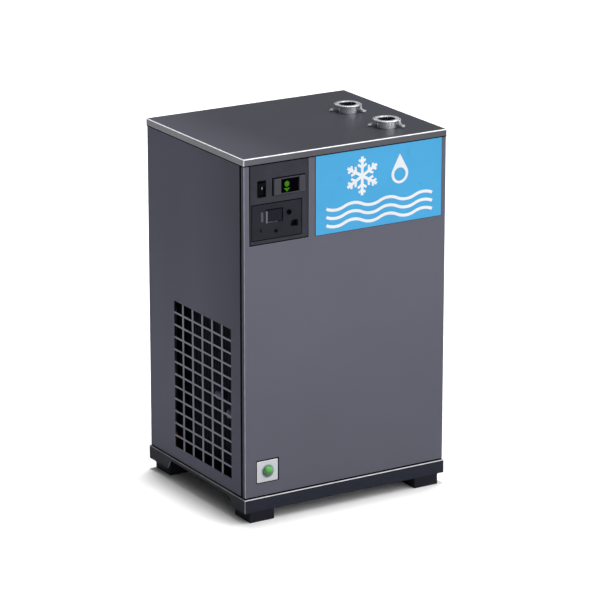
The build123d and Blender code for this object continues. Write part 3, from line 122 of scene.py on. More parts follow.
class Finish(Nodes):
    """A material under way: its surface shader and the patterns that drive it."""

    def __init__(self, name, **fixed):
        self.material = bpy.data.materials.new(name)
        self.material.use_nodes = True
        super().__init__(self.material.node_tree)
        self.surface = self.tree.nodes["Principled BSDF"]
        for socket, value in fixed.items():
            self.drive(socket.replace("_", " "), value)
        coordinates = self.add("ShaderNodeTexCoord")
        self.place = coordinates.outputs["Object"]
        self.normal = coordinates.outputs["Normal"]
        FINISHES[name] = self.material

    def drive(self, socket, value):
        """Set or link one socket of the surface shader."""
        self.feed(value, self.surface.inputs[socket])

    def noise(self, scale, detail, stretch=(1, 1, 1)):
        """Noise over the object, scale in cells per metre."""
        mapped = self.add("ShaderNodeMapping", {"Vector": self.place, "Scale": stretch})
        inputs = {"Vector": mapped.outputs["Vector"], "Scale": scale, "Detail": detail}
        return self.add("ShaderNodeTexNoise", inputs).outputs["Fac"]

    def cells(self, scale):
        """Distance to the nearest of many scattered points, scale in points per metre."""
        inputs = {"Vector": self.place, "Scale": scale}
        return self.add("ShaderNodeTexVoronoi", inputs).outputs["Distance"]

    def ramp(self, value, *stops):
        """Colour that changes along a value; each stop is (position, colour)."""
        node = self.add("ShaderNodeValToRGB", {"Fac": value})
        points = node.color_ramp.elements
        while len(points) < len(stops):
            points.new(0.5)
        for point, (position, colour) in zip(points, stops):
            point.position = position
            point.color = colour
        return node.outputs["Color"]

    def mottle(self, value, colour, shades, span=NOISE_SPAN):
        """One colour that drifts between two of its shades as a value crosses a span."""
        stops = [(position, shade(colour, factor)) for position, factor in zip(span, shades)]
        return self.ramp(value, *stops)

    def mix(self, factor, first, second):
        """Colour between two others."""
        node = self.add("ShaderNodeMix", {"Factor": factor}, data_type="RGBA")
        self.feed(first, node.inputs[6])
        self.feed(second, node.inputs[7])
        return node.outputs[2]

    def scaled(self, colour, factor):
        """A colour made darker or lighter by a value that changes over the surface."""
        node = self.add("ShaderNodeVectorMath", {0: colour}, operation="SCALE")
        self.feed(factor, node.inputs["Scale"])
        return node.outputs["Vector"]

    def facing(self, axis):
        """How far the surface faces along one axis, from -1 to 1."""
        return self.part(self.normal, axis)

    def edges(self):
        """1 where box-like sheet or moulding turns a rounded corner, 0 on its flat faces."""
        largest = self.calculate("ABSOLUTE", self.facing("X"))
        for axis in ("Y", "Z"):
            part = self.calculate("ABSOLUTE", self.facing(axis))
            largest = self.calculate("MAXIMUM", largest, part)
        return self.remap(largest, (0.985, 0.86), (0.0, 1.0))

    def rough(self, value, low, high, span=NOISE_SPAN):
        """Roughness that drifts between two values."""
        self.drive("Roughness", self.remap(value, span, (low, high)))

    def emboss(self, height, depth):
        """Bump of a pattern, with its depth in metres."""
        bump = self.add("ShaderNodeBump", {"Height": height, "Distance": depth})
        self.drive("Normal", bump.outputs["Normal"])


# ---------------------------------------------------------------- kinds of surface
def fold_highlight(finish, faces, corner, highlight):
    """How strongly a sheet's folds carry the painted highlight, in patches; the arguments are powder_coat's.
    """
    patchy = finish.remap(finish.noise(60.0, 4.0), (0.35, 0.6), (0.75, 1.0))
    turned = 0.15
    spans = ((-0.3, -0.9), (-0.3, -0.9), (0.0, 0.6))
    for axis, span, share in zip("XYZ", spans, faces):
        looks = finish.remap(finish.facing(axis), span, (0.0, share))
        turned = finish.calculate("MAXIMUM", turned, looks)
    standing = finish.remap(finish.facing("Z"), (0.0, 0.3), (corner, 1.0))
    return finish.product(finish.edges(), patchy, turned, standing, highlight)


def powder_coat(
    name, colour, roughness, gloss=0.25, highlight=0.5, highlight_tone=None, faces=(0, 1, 1), dim=1.0, corner=1.0, fades=()
):
    """Powder-coated sheet metal: cloudy tone, orange peel, a painted highlight where it folds.

    faces is how strongly folds that look left, forward and up carry the painted highlight, corner how much of
    that is left on upright corners; dim is painted shade on what looks to the left; each of fades is
    (axis, from, to, tone at from, tone at to) for painted light and shade that change along an axis.
    """
    finish = Finish(name, Specular_IOR_Level=gloss)
    body = finish.mottle(finish.noise(5.0, 5.0), colour, (0.975, 1.025))
    grit = finish.remap(finish.cells(1500.0), (0.1, 0.6), (0.0, 0.08))
    body = finish.mix(grit, body, shade(colour, 1.5))
    # Painted shade: what looks to the left is darkened by dim.
    left = finish.remap(finish.facing("X"), (-0.8, -0.99), (0.0, 1.0))
    body = finish.mix(left, body, shade(colour, dim))
    # Painted light and shade: the tone is scaled along each axis of fades.
    for axis, start, end, first, last in fades:
        along = finish.part(finish.place, axis)
        body = finish.scaled(body, finish.remap(along, (start, end), (first, last), smooth=True))
    # Painted highlight: a pale tone laid along the folds, in patches.
    painted_highlight = fold_highlight(finish, faces, corner, highlight)
    finish.drive("Base Color", finish.mix(painted_highlight, body, highlight_tone or shade(colour, 3.0)))
    smudge = finish.noise(9.0, 6.0, (1.0, 1.0, 0.35))
    finish.rough(smudge, roughness - 0.04, roughness + 0.05)
    finish.emboss(finish.noise(1400.0, 1.0), 0.000006)


def moulded_plastic(name, colour, roughness, grain=0.00003, gloss=0.2, scale=2200.0):
    """Injection-moulded plastic with a fine spark-eroded grain, faint handling marks and a painted highlight
    along its edges.
    """
    finish = Finish(name, Specular_IOR_Level=gloss)
    body = finish.mottle(finish.noise(40.0, 3.0), colour, (0.9, 1.1))
    # Painted highlight along the edges.
    rim = finish.product(finish.edges(), 0.35)
    finish.drive("Base Color", finish.mix(rim, body, shade(colour, 2.8)))
    finish.rough(finish.noise(120.0, 5.0), roughness - 0.06, roughness + 0.08)
    finish.emboss(finish.cells(scale), grain)


def moulded_rubber(name, colour, gloss=0.12):
    """Matt rubber with a coarse grain, dusty close to the floor."""
    finish = Finish(name, Specular_IOR_Level=gloss)
    dust = finish.noise(35.0, 6.0)
    low = finish.remap(finish.part(finish.place, "Z"), (0.0, 0.02), (0.5, 0.0))
    dusty = finish.product(finish.remap(dust, (0.45, 0.75), (0, 1)), low)
    body = finish.mottle(dust, colour, (0.85, 1.15))
    finish.drive("Base Color", finish.mix(dusty, body, shade(colour, 3.0)))
    finish.rough(dust, 0.72, 0.9)
    finish.emboss(finish.cells(700.0), 0.00012)


def bare_metal(name, colour, roughness, stretch=(1, 1, 1), metallic=1.0):
    """Bare metal, slightly stained; its fine grain is long on an axis whose stretch is small."""
    finish = Finish(name, Metallic=metallic)
    finish.drive("Base Color", finish.mottle(finish.noise(25.0, 5.0), colour, (0.86, 1.08)))
    grain = finish.noise(400.0, 3.0, stretch)
    finish.rough(grain, roughness * 0.7, roughness * 1.4)
    finish.emboss(grain, 0.00001)


def cast_iron(name, colour):
    """Sand-cast metal: pitted and uneven."""
    finish = Finish(name, Metallic=0.6)
    grit = finish.noise(600.0, 6.0)
    finish.drive("Base Color", finish.mottle(grit, colour, (0.7, 1.2)))
    finish.rough(grit, 0.5, 0.8)
    finish.emboss(grit, 0.0004)


def printed_film(name, colour):
    """Printed sign surface: even ink, a painted highlight along its edges, and a faint change of sheen."""
    finish = Finish(name, Specular_IOR_Level=0.12)
    body = finish.mottle(finish.noise(12.0, 4.0), colour, (0.975, 1.02))
    # Painted highlight along the edges.
    rim = finish.product(finish.edges(), 0.5)
    finish.drive("Base Color", finish.mix(rim, body, shade(colour, 1.3)))
    finish.rough(finish.noise(30.0, 5.0), 0.27, 0.4)
    finish.emboss(finish.noise(500.0, 2.0), 0.000006)


def lit_plastic(name, colour, strength):
    """Glowing diffuser: brightest in the middle of its cells, never quite even."""
    finish = Finish(name, Roughness=0.35, Specular_IOR_Level=0.05, Emission_Strength=strength)
    cell = finish.cells(420.0)
    glow = finish.mottle(cell, colour, (1.25, 0.7), CELL_SPAN)
    finish.drive("Base Color", glow)
    finish.drive("Emission Color", glow)
    finish.emboss(cell, 0.00005)


def smoked_window(name, colour):
    """Dark polished window with a few fine wiping marks."""
    finish = Finish(name, Specular_IOR_Level=0.004)
    marks = finish.noise(900.0, 4.0)
    finish.drive("Base Color", finish.mottle(marks, colour, (1.0, 1.8), (0.35, 0.75)))
    finish.rough(marks, 0.2, 0.34, (0.4, 0.8))
    finish.emboss(marks, 0.000008)


def lens_plastic(name, colour):
    """Translucent domed lens: glossy, with painted glints, painted shade towards its lower left and a painted
    highlight towards its top.
    """
    finish = Finish(name, Specular_IOR_Level=0.5, Coat_Weight=0.25, Coat_Roughness=0.08)
    # Painted shade and highlight: darker where the dome looks down and left, brighter where it looks up and
    # right.
    sideways = finish.product(finish.facing("X"), 0.45)
    painted_light_slant = finish.calculate("ADD", sideways, finish.facing("Z"))
    height = finish.remap(painted_light_slant, (-0.6, 0.55), (0.0, 1.0))
    body = finish.ramp(height, (0.12, shade(colour, 0.2)), (0.5, colour), (0.9, shade(colour, 3.2)))
    # Painted glints: small pale spots scattered over the dome.
    cell = finish.cells(260.0)
    painted_glint = finish.remap(cell, (0.15, 0.4), (0.8, 0.0))
    finish.drive("Base Color", finish.mix(painted_glint, body, shade(colour, 5.5)))
    finish.rough(cell, 0.22, 0.34, CELL_SPAN)
    finish.emboss(cell, 0.00006)


def foam_skin(name, colour):
    """Closed-cell insulation foam."""
    finish = Finish(name)
    cell = finish.cells(450.0)
    finish.drive("Base Color", finish.mottle(cell, colour, (0.7, 1.3), CELL_SPAN))
    finish.rough(cell, 0.8, 0.95, CELL_SPAN)
    finish.emboss(cell, 0.0004)


# ---------------------------------------------------------------- finishes
# Pale tones of the painted highlight along folds and rounded edges.
CABINET_EDGE_HIGHLIGHT = tone(150, 156, 172)
PALE_EDGE_HIGHLIGHT = tone(236, 238, 242)
BASE_EDGE_HIGHLIGHT = (0.95, 0.95, 1, 1)

# Front tray: painted highlight on its folds, painted shade on its left-facing return, and painted light that
# brightens it upwards.
powder_coat(
    "cabinet_paint", shade(tone(96, 96, 108), 0.70), 0.5, 0.04, highlight=0.9, highlight_tone=CABINET_EDGE_HIGHLIGHT,
    faces=(1, 1, 1), dim=0.6, fades=[("Z", 0.05, 0.6, 0.91, 1.12)],
)
# Side and rear panels: a shaded copy of the front's paint, with a painted highlight on its folds and painted
# light that is brighter low down and darker towards the front.
powder_coat(
    "shaded_side_paint", tone(68, 69, 81), 0.5, 0.04,
    fades=[("Z", 0.1, 0.7, 1.3, 1.0), ("Y", -0.2, 0.0, 0.76, 1.04)],
)
# Lid: near-white painted highlight on its rounded edges, and painted light that is brightest at its left end.
powder_coat(
    "lid_paint", tone(49, 49, 57), 0.34, 0.5, highlight=1.0, highlight_tone=PALE_EDGE_HIGHLIGHT, faces=(0.6, 1, 1),
    fades=[("X", -0.26, -0.08, 1.75, 1.12)],
)
# Grille: painted highlight on its folds.
powder_coat("grille_paint", tone(96, 97, 110), 0.42, 0.15)
# Base: near-white painted highlight on its front top edge, and painted shade on what looks to the left.
powder_coat(
    "base_paint", tone(32, 34, 43), 0.45, 0.05, highlight=1.0, highlight_tone=BASE_EDGE_HIGHLIGHT,
    faces=(0.06, 1, 0.3), dim=0.8, corner=0.22,
)
# Test plate: painted highlight on its edges; the black paint keeps a faint one.
powder_coat("plate_metal", tone(168, 170, 175), 0.4, 0.1, highlight=1.0, highlight_tone=PALE_EDGE_HIGHLIGHT, faces=(1, 1, 1))
powder_coat("black_paint", tone(15, 15, 17), 0.4, 0.15, highlight=0.1)
moulded_rubber("foot_rubber", tone(23, 24, 31))
moulded_rubber("seal_rubber", tone(20, 20, 21))
# Pitch black: for black parts and the arrow print, and for the painted shadow strips and rings.
moulded_rubber("black_rubber_and_painted_shadow", tone(5, 5, 8), 0.01)
moulded_plastic("fascia_plastic", tone(43, 44, 51), 0.5, gloss=0.1)
moulded_plastic("switch_plastic", tone(5, 6, 9), 0.25, 0.00001, 0.02)
moulded_plastic("controller_plastic", tone(54, 55, 61), 0.36, gloss=0.12)
moulded_plastic("timer_plastic", tone(28, 30, 37), 0.46, gloss=0.08)
moulded_plastic("level_bar_plastic", tone(62, 64, 74), 0.4, scale=900.0)
# Greys of the painted highlight round the small screen.
moulded_plastic("pale_highlight_grey", tone(96, 98, 108), 0.3)
moulded_plastic("dim_highlight_grey", tone(58, 60, 68), 0.3)
moulded_plastic("cap_steel", tone(62, 66, 82), 0.4, gloss=0.1)
moulded_plastic("fitting_plastic", tone(34, 34, 37), 0.42)
smoked_window("window_plastic", tone(2, 2, 4))
smoked_window("screen_plastic", tone(25, 27, 33))
lit_plastic("lamp_green", tone(56, 112, 4), 0.08)
lens_plastic("lens_green", tone(34, 92, 30))
printed_film("sign_blue", tone(63, 146, 192))
printed_film("sign_white", tone(203, 207, 211))
printed_film("mark_grey", tone(126, 129, 140))
bare_metal("zinc_steel", tone(150, 152, 158), 0.36)
bare_metal("coupling_steel", tone(224, 226, 232), 0.24, (1, 1, 0.1), metallic=0.62)
# Darker steel: painted shade inside the coupling bores.
bare_metal("bore_shade_steel", tone(92, 95, 104), 0.22, metallic=0.95)
bare_metal("copper", tone(150, 98, 74), 0.35)
bare_metal("brass", tone(206, 172, 96), 0.28)
# Fins near black: painted shade for the dim inside of the cabinet.
bare_metal("fin_aluminium", tone(24, 28, 42), 0.45)
cast_iron("pump_iron", tone(96, 97, 99))
foam_skin("insulation", tone(36, 36, 38))


# ---------------------------------------------------------------- looks of the CAD nodes
# Nodes that don't take the finish of their slot in the record.
OWN_FINISH = {
    "top_cover": "lid_paint",
    # The side and rear panels take the shaded copy of the front's paint.
    "left_panel": "shaded_side_paint",
    "right_panel": "shaded_side_paint",
    "rear_panel": "shaded_side_paint",
    "condenser_tubes": "cap_steel",
    "condenser_frame": "black_rubber_and_painted_shadow",
    "timer_knob": "black_rubber_and_painted_shadow",
    "test_button_collar": "mark_grey",
    "alarm_socket": "timer_plastic",
}
# Widths of rounded edges, in millimetres.
SOFT_EDGES = {
    "front_panel": 0.45,
    "control_fascia": 0.5,
    "timer_module": 0.5,
    "controller_housing": 0.5,
    "switch_bezel": 0.35,
    "switch_rocker": 0.8,
    "sign_plate": 0.3,
    "test_button_plate": 0.3,
    "alarm_socket": 0.25,
    "left_panel": 0.4,
    "left_grille": 0.3,
    "right_grille": 0.3,
}


def dress_nodes():
    """Give each CAD node its own finish, or else the finish of its slot in the record."""
    slot_of = {part["node"]: part["material_slot"] for part in frame["record"]["subparts"]}
    for name, node in NODES.items():
        finish = OWN_FINISH.get(name, slot_of[name])
        node.data.materials.clear()
        node.data.materials.append(FINISHES[finish])


def soften(name, width):
    """Round a CAD node's sharp edges by a small width, for the light they catch."""
    piece = NODES[name]
    weld = piece.modifiers.new("weld", "WELD")
    weld.merge_threshold = 0.002 * MM
    bevel = piece.modifiers.new("bevel", "BEVEL")
    bevel.width = width * MM
    bevel.segments = 2
    bevel.limit_method = "ANGLE"
    bevel.angle_limit = math.radians(35)
    bevel.use_clamp_overlap = True
    bevel.harden_normals = True


# ---------------------------------------------------------------- mesh helpers
BODY_OF = {
    member: body
    for body, members in frame["record"]["behaviour"]["bodies"].items()
    for member in members
}


def new_piece(name, points, faces, finish, node):
    """Mesh piece in millimetres that rides with the body of one CAD node."""
    mesh = bpy.data.meshes.new(name)
    mesh.from_pydata([[value * MM for value in point] for point in points], [], faces)
    mesh.update()
    piece = bpy.data.objects.new(name, mesh)
    bpy.context.scene.collection.objects.link(piece)
    mesh.materials.append(FINISHES[finish])
    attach(piece, BODY_OF[node])
    return piece


def node_limits(name):
    """Lower and upper corner of one CAD node, in millimetres."""
    low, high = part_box(name)
    return [value / MM for value in low], [value / MM for value in high]


def outset(limits, low_side, high_side=None):
    """Limits on one axis, moved outwards by a margin at each end, or by the same one at both."""
    return limits[0] - low_side, limits[1] + (low_side if high_side is None else high_side)


def corner_loop(x, y, radius, steps):
    """Rounded rectangle between two limits on each of two axes, counter-clockwise."""
    corners = ((x[1], y[1], 0), (x[0], y[1], 90), (x[0], y[0], 180), (x[1], y[0], 270))
    loop = []
    for corner_x, corner_y, start in corners:
        centre_x = corner_x - math.copysign(radius, math.cos(math.radians(start + 45)))
        centre_y = corner_y - math.copysign(radius, math.sin(math.radians(start + 45)))
        for step in range(steps + 1):
            turn = math.radians(start + 90 * step / steps)
            loop.append((centre_x + radius * math.cos(turn), centre_y + radius * math.sin(turn)))
    return loop


def ring_strip(name, loops, span, finish, node, standing=True):
    """Closed strip between an outer and an inner loop; it stands in the front face or lies flat."""
    count = len(loops[0])
    points = []
    for level in span:
        for loop in loops:
            points += [(a, level, b) if standing else (a, b, level) for a, b in loop]
    faces = []
    for index in range(count):
        after = (index + 1) % count
        for first, second in ((0, 2), (2, 3), (3, 1), (1, 0)):
            near, far = first * count, second * count
            faces.append((near + index, near + after, far + after, far + index))
    return new_piece(name, points, faces, finish, node)


def lathe(name, outline, centre, axis, finish, node, hollow=False):
    """Turned piece: an outline of (radius, distance along axis) spun about a centre.

    A hollow one is a ring, whose outline closes on itself; others are closed by two end faces.
    """
    turn = Vector(axis).to_track_quat("Z", "Y").to_matrix()
    steps = 64
    points = []
    for radius, along in outline:
        for step in range(steps):
            angle = 2 * math.pi * step / steps
            spot = Vector((radius * math.cos(angle), radius * math.sin(angle), along))
            points.append(list(Vector(centre) + turn @ spot))
    faces = []
    for ring in range(len(outline) if hollow else len(outline) - 1):
        near, far = ring * steps, (ring + 1) % len(outline) * steps
        for step in range(steps):
            after = (step + 1) % steps
            faces.append((near + step, near + after, far + after, far + step))
    if not hollow:
        faces.append(tuple(range(steps))[::-1])
        last = (len(outline) - 1) * steps
        faces.append(tuple(last + step for step in range(steps)))
    piece = new_piece(name, points, faces, finish, node)
    piece.data.shade_smooth()
    return piece


# ---------------------------------------------------------------- painted shadow strips and rings
SHADOW_LAP = 1.0  # how far a painted shadow ring reaches under the plate that it frames
FACE_GAP = 0.02  # air between a thin piece and the face behind it, so that no two faces coincide


def make_cabinet_shadow_strips():
    """Black strips that lie flat all round the cabinet, under the lid and on the base: painted shadow under
    the lid's lip and in the gap above the base.
    """
    front = node_limits("front_panel")[0][1]
    rear = node_limits("rear_panel")[1][1]
    left, _, panel_foot = node_limits("left_panel")[0]
    lip = node_limits("top_cover")[0][2]
    clear, width = 0.05, 1.0
    for name, grow, top, thick, node in (
        ("lid_shadow_strip", 1.1, lip - clear, 2.35, "top_cover"),
        ("base_shadow_strip", -0.5, panel_foot - clear, 2.9, "base_frame"),
    ):
        x = outset((left, -left), grow)
        y = outset((front, rear), grow)
        outer = corner_loop(x, y, 3.0, 6)
        inner = corner_loop(outset(x, -width), outset(y, -width), 2.0, 6)
        ring_strip(name, (outer, inner), (top - thick, top), "black_rubber_and_painted_shadow", node, standing=False)


def front_shadow_ring(name, around, outer, inner, radii, span, node, steps=4):
    """Black ring of painted shadow in the front face, round a node.

    outer and inner are how far its two edges lie to the left, right, below and above that node;
    span is its front and back, and node is the one that it rides with.
    """
    low, high = node_limits(around)
    loops = []
    for (left, right, below, above), radius in zip((outer, inner), radii):
        x = outset((low[0], high[0]), left, right)
        z = outset((low[2], high[2]), below, above)
        loops.append(corner_loop(x, z, radius, steps))
    ring_strip(name, loops, span, "black_rubber_and_painted_shadow", node)


def make_front_shadow_rings():
    """Black rings of painted shadow round the fascia, what is mounted in it, the sign and the test plate."""
    face = node_limits("control_fascia")[0][1]
    panel = node_limits("sign_plate")[1][1]
    lap = (-SHADOW_LAP,) * 4
    front_shadow_ring(
        "timer_shadow_ring", "timer_module", (1.9,) * 4, (0.0,) * 4, (1.5, 1.0),
        (face + 0.1, face + 1.45), "timer_module",
    )
    front_shadow_ring(
        "controller_shadow_ring", "controller_housing", (3.2, 0.8, 0.8, 2.2), lap, (1.5, 1.0),
        (face - 0.5, face - FACE_GAP), "control_fascia",
    )
    front_shadow_ring(
        "test_plate_shadow_ring", "test_button_plate", (1.6, 3.2, 2.0, 2.6), lap, (2.0, 1.0),
        (panel - 0.5, panel - FACE_GAP), "test_button_plate",
    )
    front_shadow_ring(
        "sign_shadow_ring", "sign_plate", (1.0,) * 4, lap, (1.5, 1.0),
        (panel - 0.4, panel - FACE_GAP), "sign_plate",
    )
    front_shadow_ring(
        "fascia_shadow_ring", "control_fascia", (-7.05, -7.05, -7.05, -5.05), (-9.8, -7.9, -9.2, -7.4),
        (0.5, 0.4), (face - 0.6, face - 0.03), "control_fascia", steps=2,
    )
    front_shadow_ring(
        "screen_shadow_ring", "timer_screen", (0.6, 1.6, 0.4, 1.8), (-0.2,) * 4, (1.5, 1.2),
        (face - 0.3, face - FACE_GAP), "timer_module",
    )


def make_seam_shadow_strips():
    """Black strips in the upright seams between the front tray and the side panels: painted shade deep in the
    seams.
    """
    low, high = node_limits("left_panel")
    tray_back = node_limits("front_panel")[1][1]
    y = (tray_back + FACE_GAP, low[1] - FACE_GAP)
    for name, side in (("left", 1), ("right", -1)):
        x = tuple(sorted((side * (low[0] + 0.25), side * (low[0] + 1.15))))
        outer = corner_loop(x, y, 0.3, 3)
        inner = corner_loop(outset(x, -0.3), outset(y, -1.0), 0.1, 3)
        span = (low[2], high[2])
        ring_strip(f"seam_shadow_strip_{name}", (outer, inner), span, "black_rubber_and_painted_shadow", "corner_posts", standing=False)


# ---------------------------------------------------------------- small pieces
def make_screen_highlights():
    """Painted highlight: a pale lip at the left of the small screen and a shorter, dimmer one along its foot.
    """
    face = node_limits("timer_module")[0][1]
    (left, _, foot), (right, _, top) = node_limits("timer_screen")
    back = face - 0.32
    outer = corner_loop((left - 0.4, left + 3.4), (foot - 0.2, top - 1.5), 1.4, 5)
    inner = corner_loop((left + 1.3, left + 1.9), (foot + 4.0, top - 4.0), 0.25, 5)
    ring_strip("screen_left_highlight", (outer, inner), (face - 0.8, back), "pale_highlight_grey", "timer_module")
    outer = corner_loop((left + 3.0, right - 12.0), (foot - 0.1, foot + 2.1), 0.9, 5)
    inner = corner_loop((left + 5.0, right - 14.0), (foot + 0.8, foot + 1.3), 0.2, 5)
    ring_strip("screen_foot_highlight", (outer, inner), (face - 0.7, back), "dim_highlight_grey", "timer_module")


def make_lens():
    """Domed push lens with a small chamfer at its foot, in place of the CAD node's coarse dome."""
    low, high = node_limits("test_button_lens")
    centre = ((low[0] + high[0]) / 2, low[1], (low[2] + high[2]) / 2)
    radius = (high[0] - low[0]) / 2
    dome_depth, chamfer, barrel_end, stem_radius = 5.2, 0.4, 15.0, 5.0
    outline = []
    rings = 12
    for ring in range(rings + 1):
        turn = math.radians(4 + 86 * ring / rings)
        outline.append((radius * math.sin(turn) * 0.97, dome_depth * (1 - math.cos(turn))))
    outline += [(radius, dome_depth + chamfer), (radius, barrel_end)]
    outline += [(stem_radius, barrel_end), (stem_radius, high[1] - low[1])]
    lens = lathe("domed_lens", outline, centre, (0, 1, 0), "lens_green", "test_button_lens")
    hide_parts("test_button_lens")


def make_bore_shade_liners():
    """Thin dark sleeve with two shallow grooves inside each coupling's bore: painted shade in the bore."""
    outside, inside, groove, length = 18.97, 18.78, 18.93, 12.6
    outline = [(inside, 0.0), (outside, 0.0), (outside, length), (inside, length - 0.2)]
    for height in (8.6, 4.6):
        outline += [(inside, height), (groove, height - 0.5), (inside, height - 1.0)]
    for name in ("inlet_coupling_body", "outlet_coupling_body"):
        low, high = node_limits(name)
        centre = ((low[0] + high[0]) / 2, (low[1] + high[1]) / 2, high[2] - 1.0 - length)
        liner = name.replace("coupling_body", "bore_shade_liner")
        lathe(liner, outline, centre, (0, 0, 1), "bore_shade_steel", name, hollow=True)


def make_arrow_mark():
    """Small chevron filled with dark paint, low on the timer's face and pointing left."""
    left, face, foot = node_limits("timer_module")[0]
    tip, notch, tail = left + 17.8, left + 21.9, left + 23.5
    middle, half = foot + 19.6, 5.1
    outline = [(tail, middle + half), (tip, middle), (tail, middle - half), (notch, middle)]
    points = [(x, y, z) for y in (face - 0.25, face - FACE_GAP) for x, z in outline]
    sides = [(step, (step + 1) % 4, (step + 1) % 4 + 4, step + 4) for step in range(4)]
    faces = [(0, 3, 1), (1, 3, 2), (4, 5, 7), (5, 6, 7)] + sides
    new_piece("arrow_mark", points, faces, "black_rubber_and_painted_shadow", "timer_module")


def make_rocker_highlight_mark():
    """Raised light pill just above the middle of the rocker: an on mark that also serves as the rocker's
    painted highlight.
    """
    low, high = node_limits("switch_rocker")
    x = (low[0] + high[0]) / 2 + 0.6
    z = (low[2] + high[2]) / 2 + 2.6
    outer = corner_loop((x - 0.9, x + 0.9), (z - 3.0, z + 2.6), 0.85, 6)
    inner = corner_loop((x - 0.4, x + 0.4), (z - 2.4, z + 2.0), 0.35, 6)
    ring_strip("rocker_highlight_mark", (outer, inner), (low[1] + 1.2, low[1] + 4.6), "mark_grey", "switch_rocker")


LOUVRE_COLUMNS = (-110.0, 60.0)  # middles of the slots, from the panel's middle
LOUVRE_ROWS = 9
LOUVRE_FIRST = 242.0  # lowest slot, above the panel's lower edge
LOUVRE_PITCH = 20.0
HOOD_REACH = 5.5  # how far a hood stands out, and how far its top lies above its slot
HOOD_DROP = 9.0
HOOD_PROFILE = ((-57.0, 0.0), (-53.0, 1.0), (53.0, 1.0), (57.0, 0.0))  # (along the slot, share of reach)


def make_hood(name, centre_x, face, z):
    """Pressed hood over one louvre slot: a quarter curve that closes towards both ends."""
    steps = 8
    points = []
    for x, share in HOOD_PROFILE:
        for step in range(steps + 1):
            turn = math.radians(90 * step / steps)
            reach = HOOD_REACH * share * math.sin(turn) + 0.05
            drop = HOOD_DROP * (1 - math.cos(turn)) * (0.4 + 0.6 * share)
            points.append((centre_x + x, face + reach, z + HOOD_REACH - drop))
    faces = []
    for strip in range(len(HOOD_PROFILE) - 1):
        for step in range(steps):
            near = strip * (steps + 1) + step
            far = near + steps + 1
            faces.append((near, far, far + 1, near + 1))
    hood = new_piece(name, points, faces, "shaded_side_paint", "rear_panel")
    hood.data.shade_smooth()
    hood.modifiers.new("sheet", "SOLIDIFY").thickness = 0.8 * MM


def make_louvres():
    """A hood over each slot in the rear panel."""
    low, high = node_limits("rear_panel")
    middle = (low[0] + high[0]) / 2
    for column, from_middle in enumerate(LOUVRE_COLUMNS):
        for row in range(LOUVRE_ROWS):
            z = low[2] + LOUVRE_FIRST + LOUVRE_PITCH * row
            make_hood(f"louvre_{column}_{row}", middle + from_middle, high[1], z)


# ---------------------------------------------------------------- floor, light, camera
FLOOR_HALF = 14.0
FLOOR_TONES = ((0.93, 0.93, 0.93, 1), (0.95, 0.95, 0.95, 1))
WORLD_ACROSS = ((-0.8, 0.3), (0.06, 1.0))  # light over X, from the left to the right
WORLD_DEPTH = ((-0.5, 0.6), (1.6, 0.12))  # over Y, from in front to behind
WORLD_HEIGHT = ((0.0, 0.9), (1.0, 1.25))  # over Z, from the horizon up
SUNS = (
    # name, direction that it shines from, strength, width in degrees
    ("overhead", (0.045, 0.06, 1.0), 2.7, 7),
    ("key", (0.4956, -0.2928, 0.8178), 0.5, 24),
)
CARD_PLACE = (-0.28, 1.0, 1.15)
CARD_SHINES_FROM = (0.0, 1.0, 0.25)
CARD_SIZE = (0.7, 0.5)
CARD_POWER = 0.65
CAMERA_AZIMUTH = math.radians(-31.215)
CAMERA_ELEVATION = math.radians(17.027)
CAMERA_DISTANCE = 7.506
CAMERA_SLIDE = (0.0093, -0.0217)
CAMERA_AIM = Vector((0.0, 0.0, 0.4275))
CAMERA_LENS = 207.46
CAMERA_SENSOR = 36.0


def make_floor():
    """Large pale floor that fades into the white background."""
    mesh = bpy.data.meshes.new("floor")
    half = FLOOR_HALF
    corners = [(-half, -half, 0), (half, -half, 0), (half, half, 0), (-half, half, 0)]
    mesh.from_pydata(corners, [], [(0, 1, 2, 3)])
    floor = bpy.data.objects.new("floor", mesh)
    bpy.context.scene.collection.objects.link(floor)
    finish = Finish("floor_paper", Roughness=0.9, Specular_IOR_Level=0.05)
    finish.drive("Base Color", finish.ramp(finish.noise(3.0, 4.0), *zip(NOISE_SPAN, FLOOR_TONES)))
    floor.data.materials.append(finish.material)


def hang_lamp(name, light, shines_from):
    """Put a light in the scene, so that it shines from a direction."""
    lamp = bpy.data.objects.new(name, light)
    lamp.rotation_mode = "QUATERNION"
    lamp.rotation_quaternion = Vector(shines_from).to_track_quat("Z", "Y")
    bpy.context.scene.collection.objects.link(lamp)
    return lamp


def make_sun(name, shines_from, strength, width):
    """Broad distant softbox."""
    light = bpy.data.lights.new(name, "SUN")
    light.energy = strength
    light.angle = math.radians(width)
    hang_lamp(name, light, shines_from)


def make_card():
    """Soft card behind the left rear corner: it is what the lid's left half mirrors."""
    light = bpy.data.lights.new("card", "AREA")
    light.shape = "RECTANGLE"
    light.size, light.size_y = CARD_SIZE
    light.energy = CARD_POWER
    lamp = hang_lamp("card", light, CARD_SHINES_FROM)
    lamp.location = CARD_PLACE
    lamp.visible_camera = False


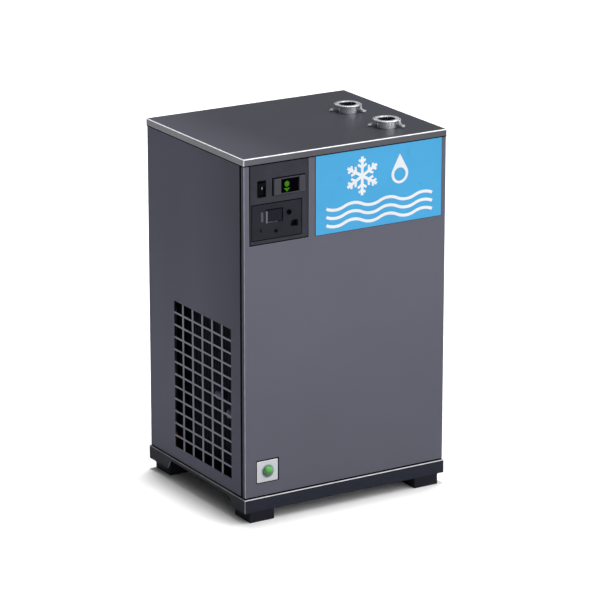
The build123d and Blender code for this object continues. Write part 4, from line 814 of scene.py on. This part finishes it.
def make_world():
    """Pale studio: dimmer towards the left and low behind, plain white where the camera looks."""
    world = bpy.data.worlds.new("studio")
    bpy.context.scene.world = world
    world.use_nodes = True
    world.node_tree.nodes.clear()
    sky = Nodes(world.node_tree)
    direction = sky.add("ShaderNodeTexCoord").outputs["Generated"]
    shares = [
        sky.remap(sky.part(direction, axis), *spans, smooth=True)
        for axis, spans in (("X", WORLD_ACROSS), ("Y", WORLD_DEPTH), ("Z", WORLD_HEIGHT))
    ]
    white = (1, 1, 1, 1)
    light = sky.add("ShaderNodeBackground", {"Color": white, "Strength": sky.product(*shares)})
    backdrop = sky.add("ShaderNodeBackground", {"Color": white})
    seen = sky.add("ShaderNodeLightPath").outputs["Is Camera Ray"]
    inputs = {"Fac": seen, 1: light.outputs["Background"], 2: backdrop.outputs["Background"]}
    choose = sky.add("ShaderNodeMixShader", inputs)
    sky.add("ShaderNodeOutputWorld", {"Surface": choose.outputs["Shader"]})


def make_camera():
    """Long-lens camera at three-quarter height, front and left side in view."""
    data = bpy.data.cameras.new("camera")
    data.sensor_width = CAMERA_SENSOR
    data.lens = CAMERA_LENS
    data.clip_end = 100.0
    camera = bpy.data.objects.new("camera", data)
    bpy.context.scene.collection.objects.link(camera)
    right = Vector((math.cos(CAMERA_AZIMUTH), math.sin(CAMERA_AZIMUTH), 0.0))
    level = Vector((math.sin(CAMERA_AZIMUTH), -math.cos(CAMERA_AZIMUTH), 0.0))
    back = level * math.cos(CAMERA_ELEVATION) + Vector((0.0, 0.0, math.sin(CAMERA_ELEVATION)))
    up = back.cross(right)
    slide = right * CAMERA_SLIDE[0] + up * CAMERA_SLIDE[1]
    camera.location = CAMERA_AIM + back * CAMERA_DISTANCE + slide
    camera.rotation_mode = "QUATERNION"
    camera.rotation_quaternion = Matrix((right, up, back)).transposed().to_quaternion()
    bpy.context.scene.camera = camera


# ---------------------------------------------------------------- the whole scene
dress_nodes()
for node_name, edge_width in SOFT_EDGES.items():
    soften(node_name, edge_width)
make_cabinet_shadow_strips()
make_front_shadow_rings()
make_screen_highlights()
make_seam_shadow_strips()
make_lens()
make_bore_shade_liners()
make_arrow_mark()
make_rocker_highlight_mark()
make_louvres()
make_floor()
make_world()
for sun in SUNS:
    make_sun(*sun)
make_card()
make_camera()
bpy.context.scene.view_settings.view_transform = "Standard"
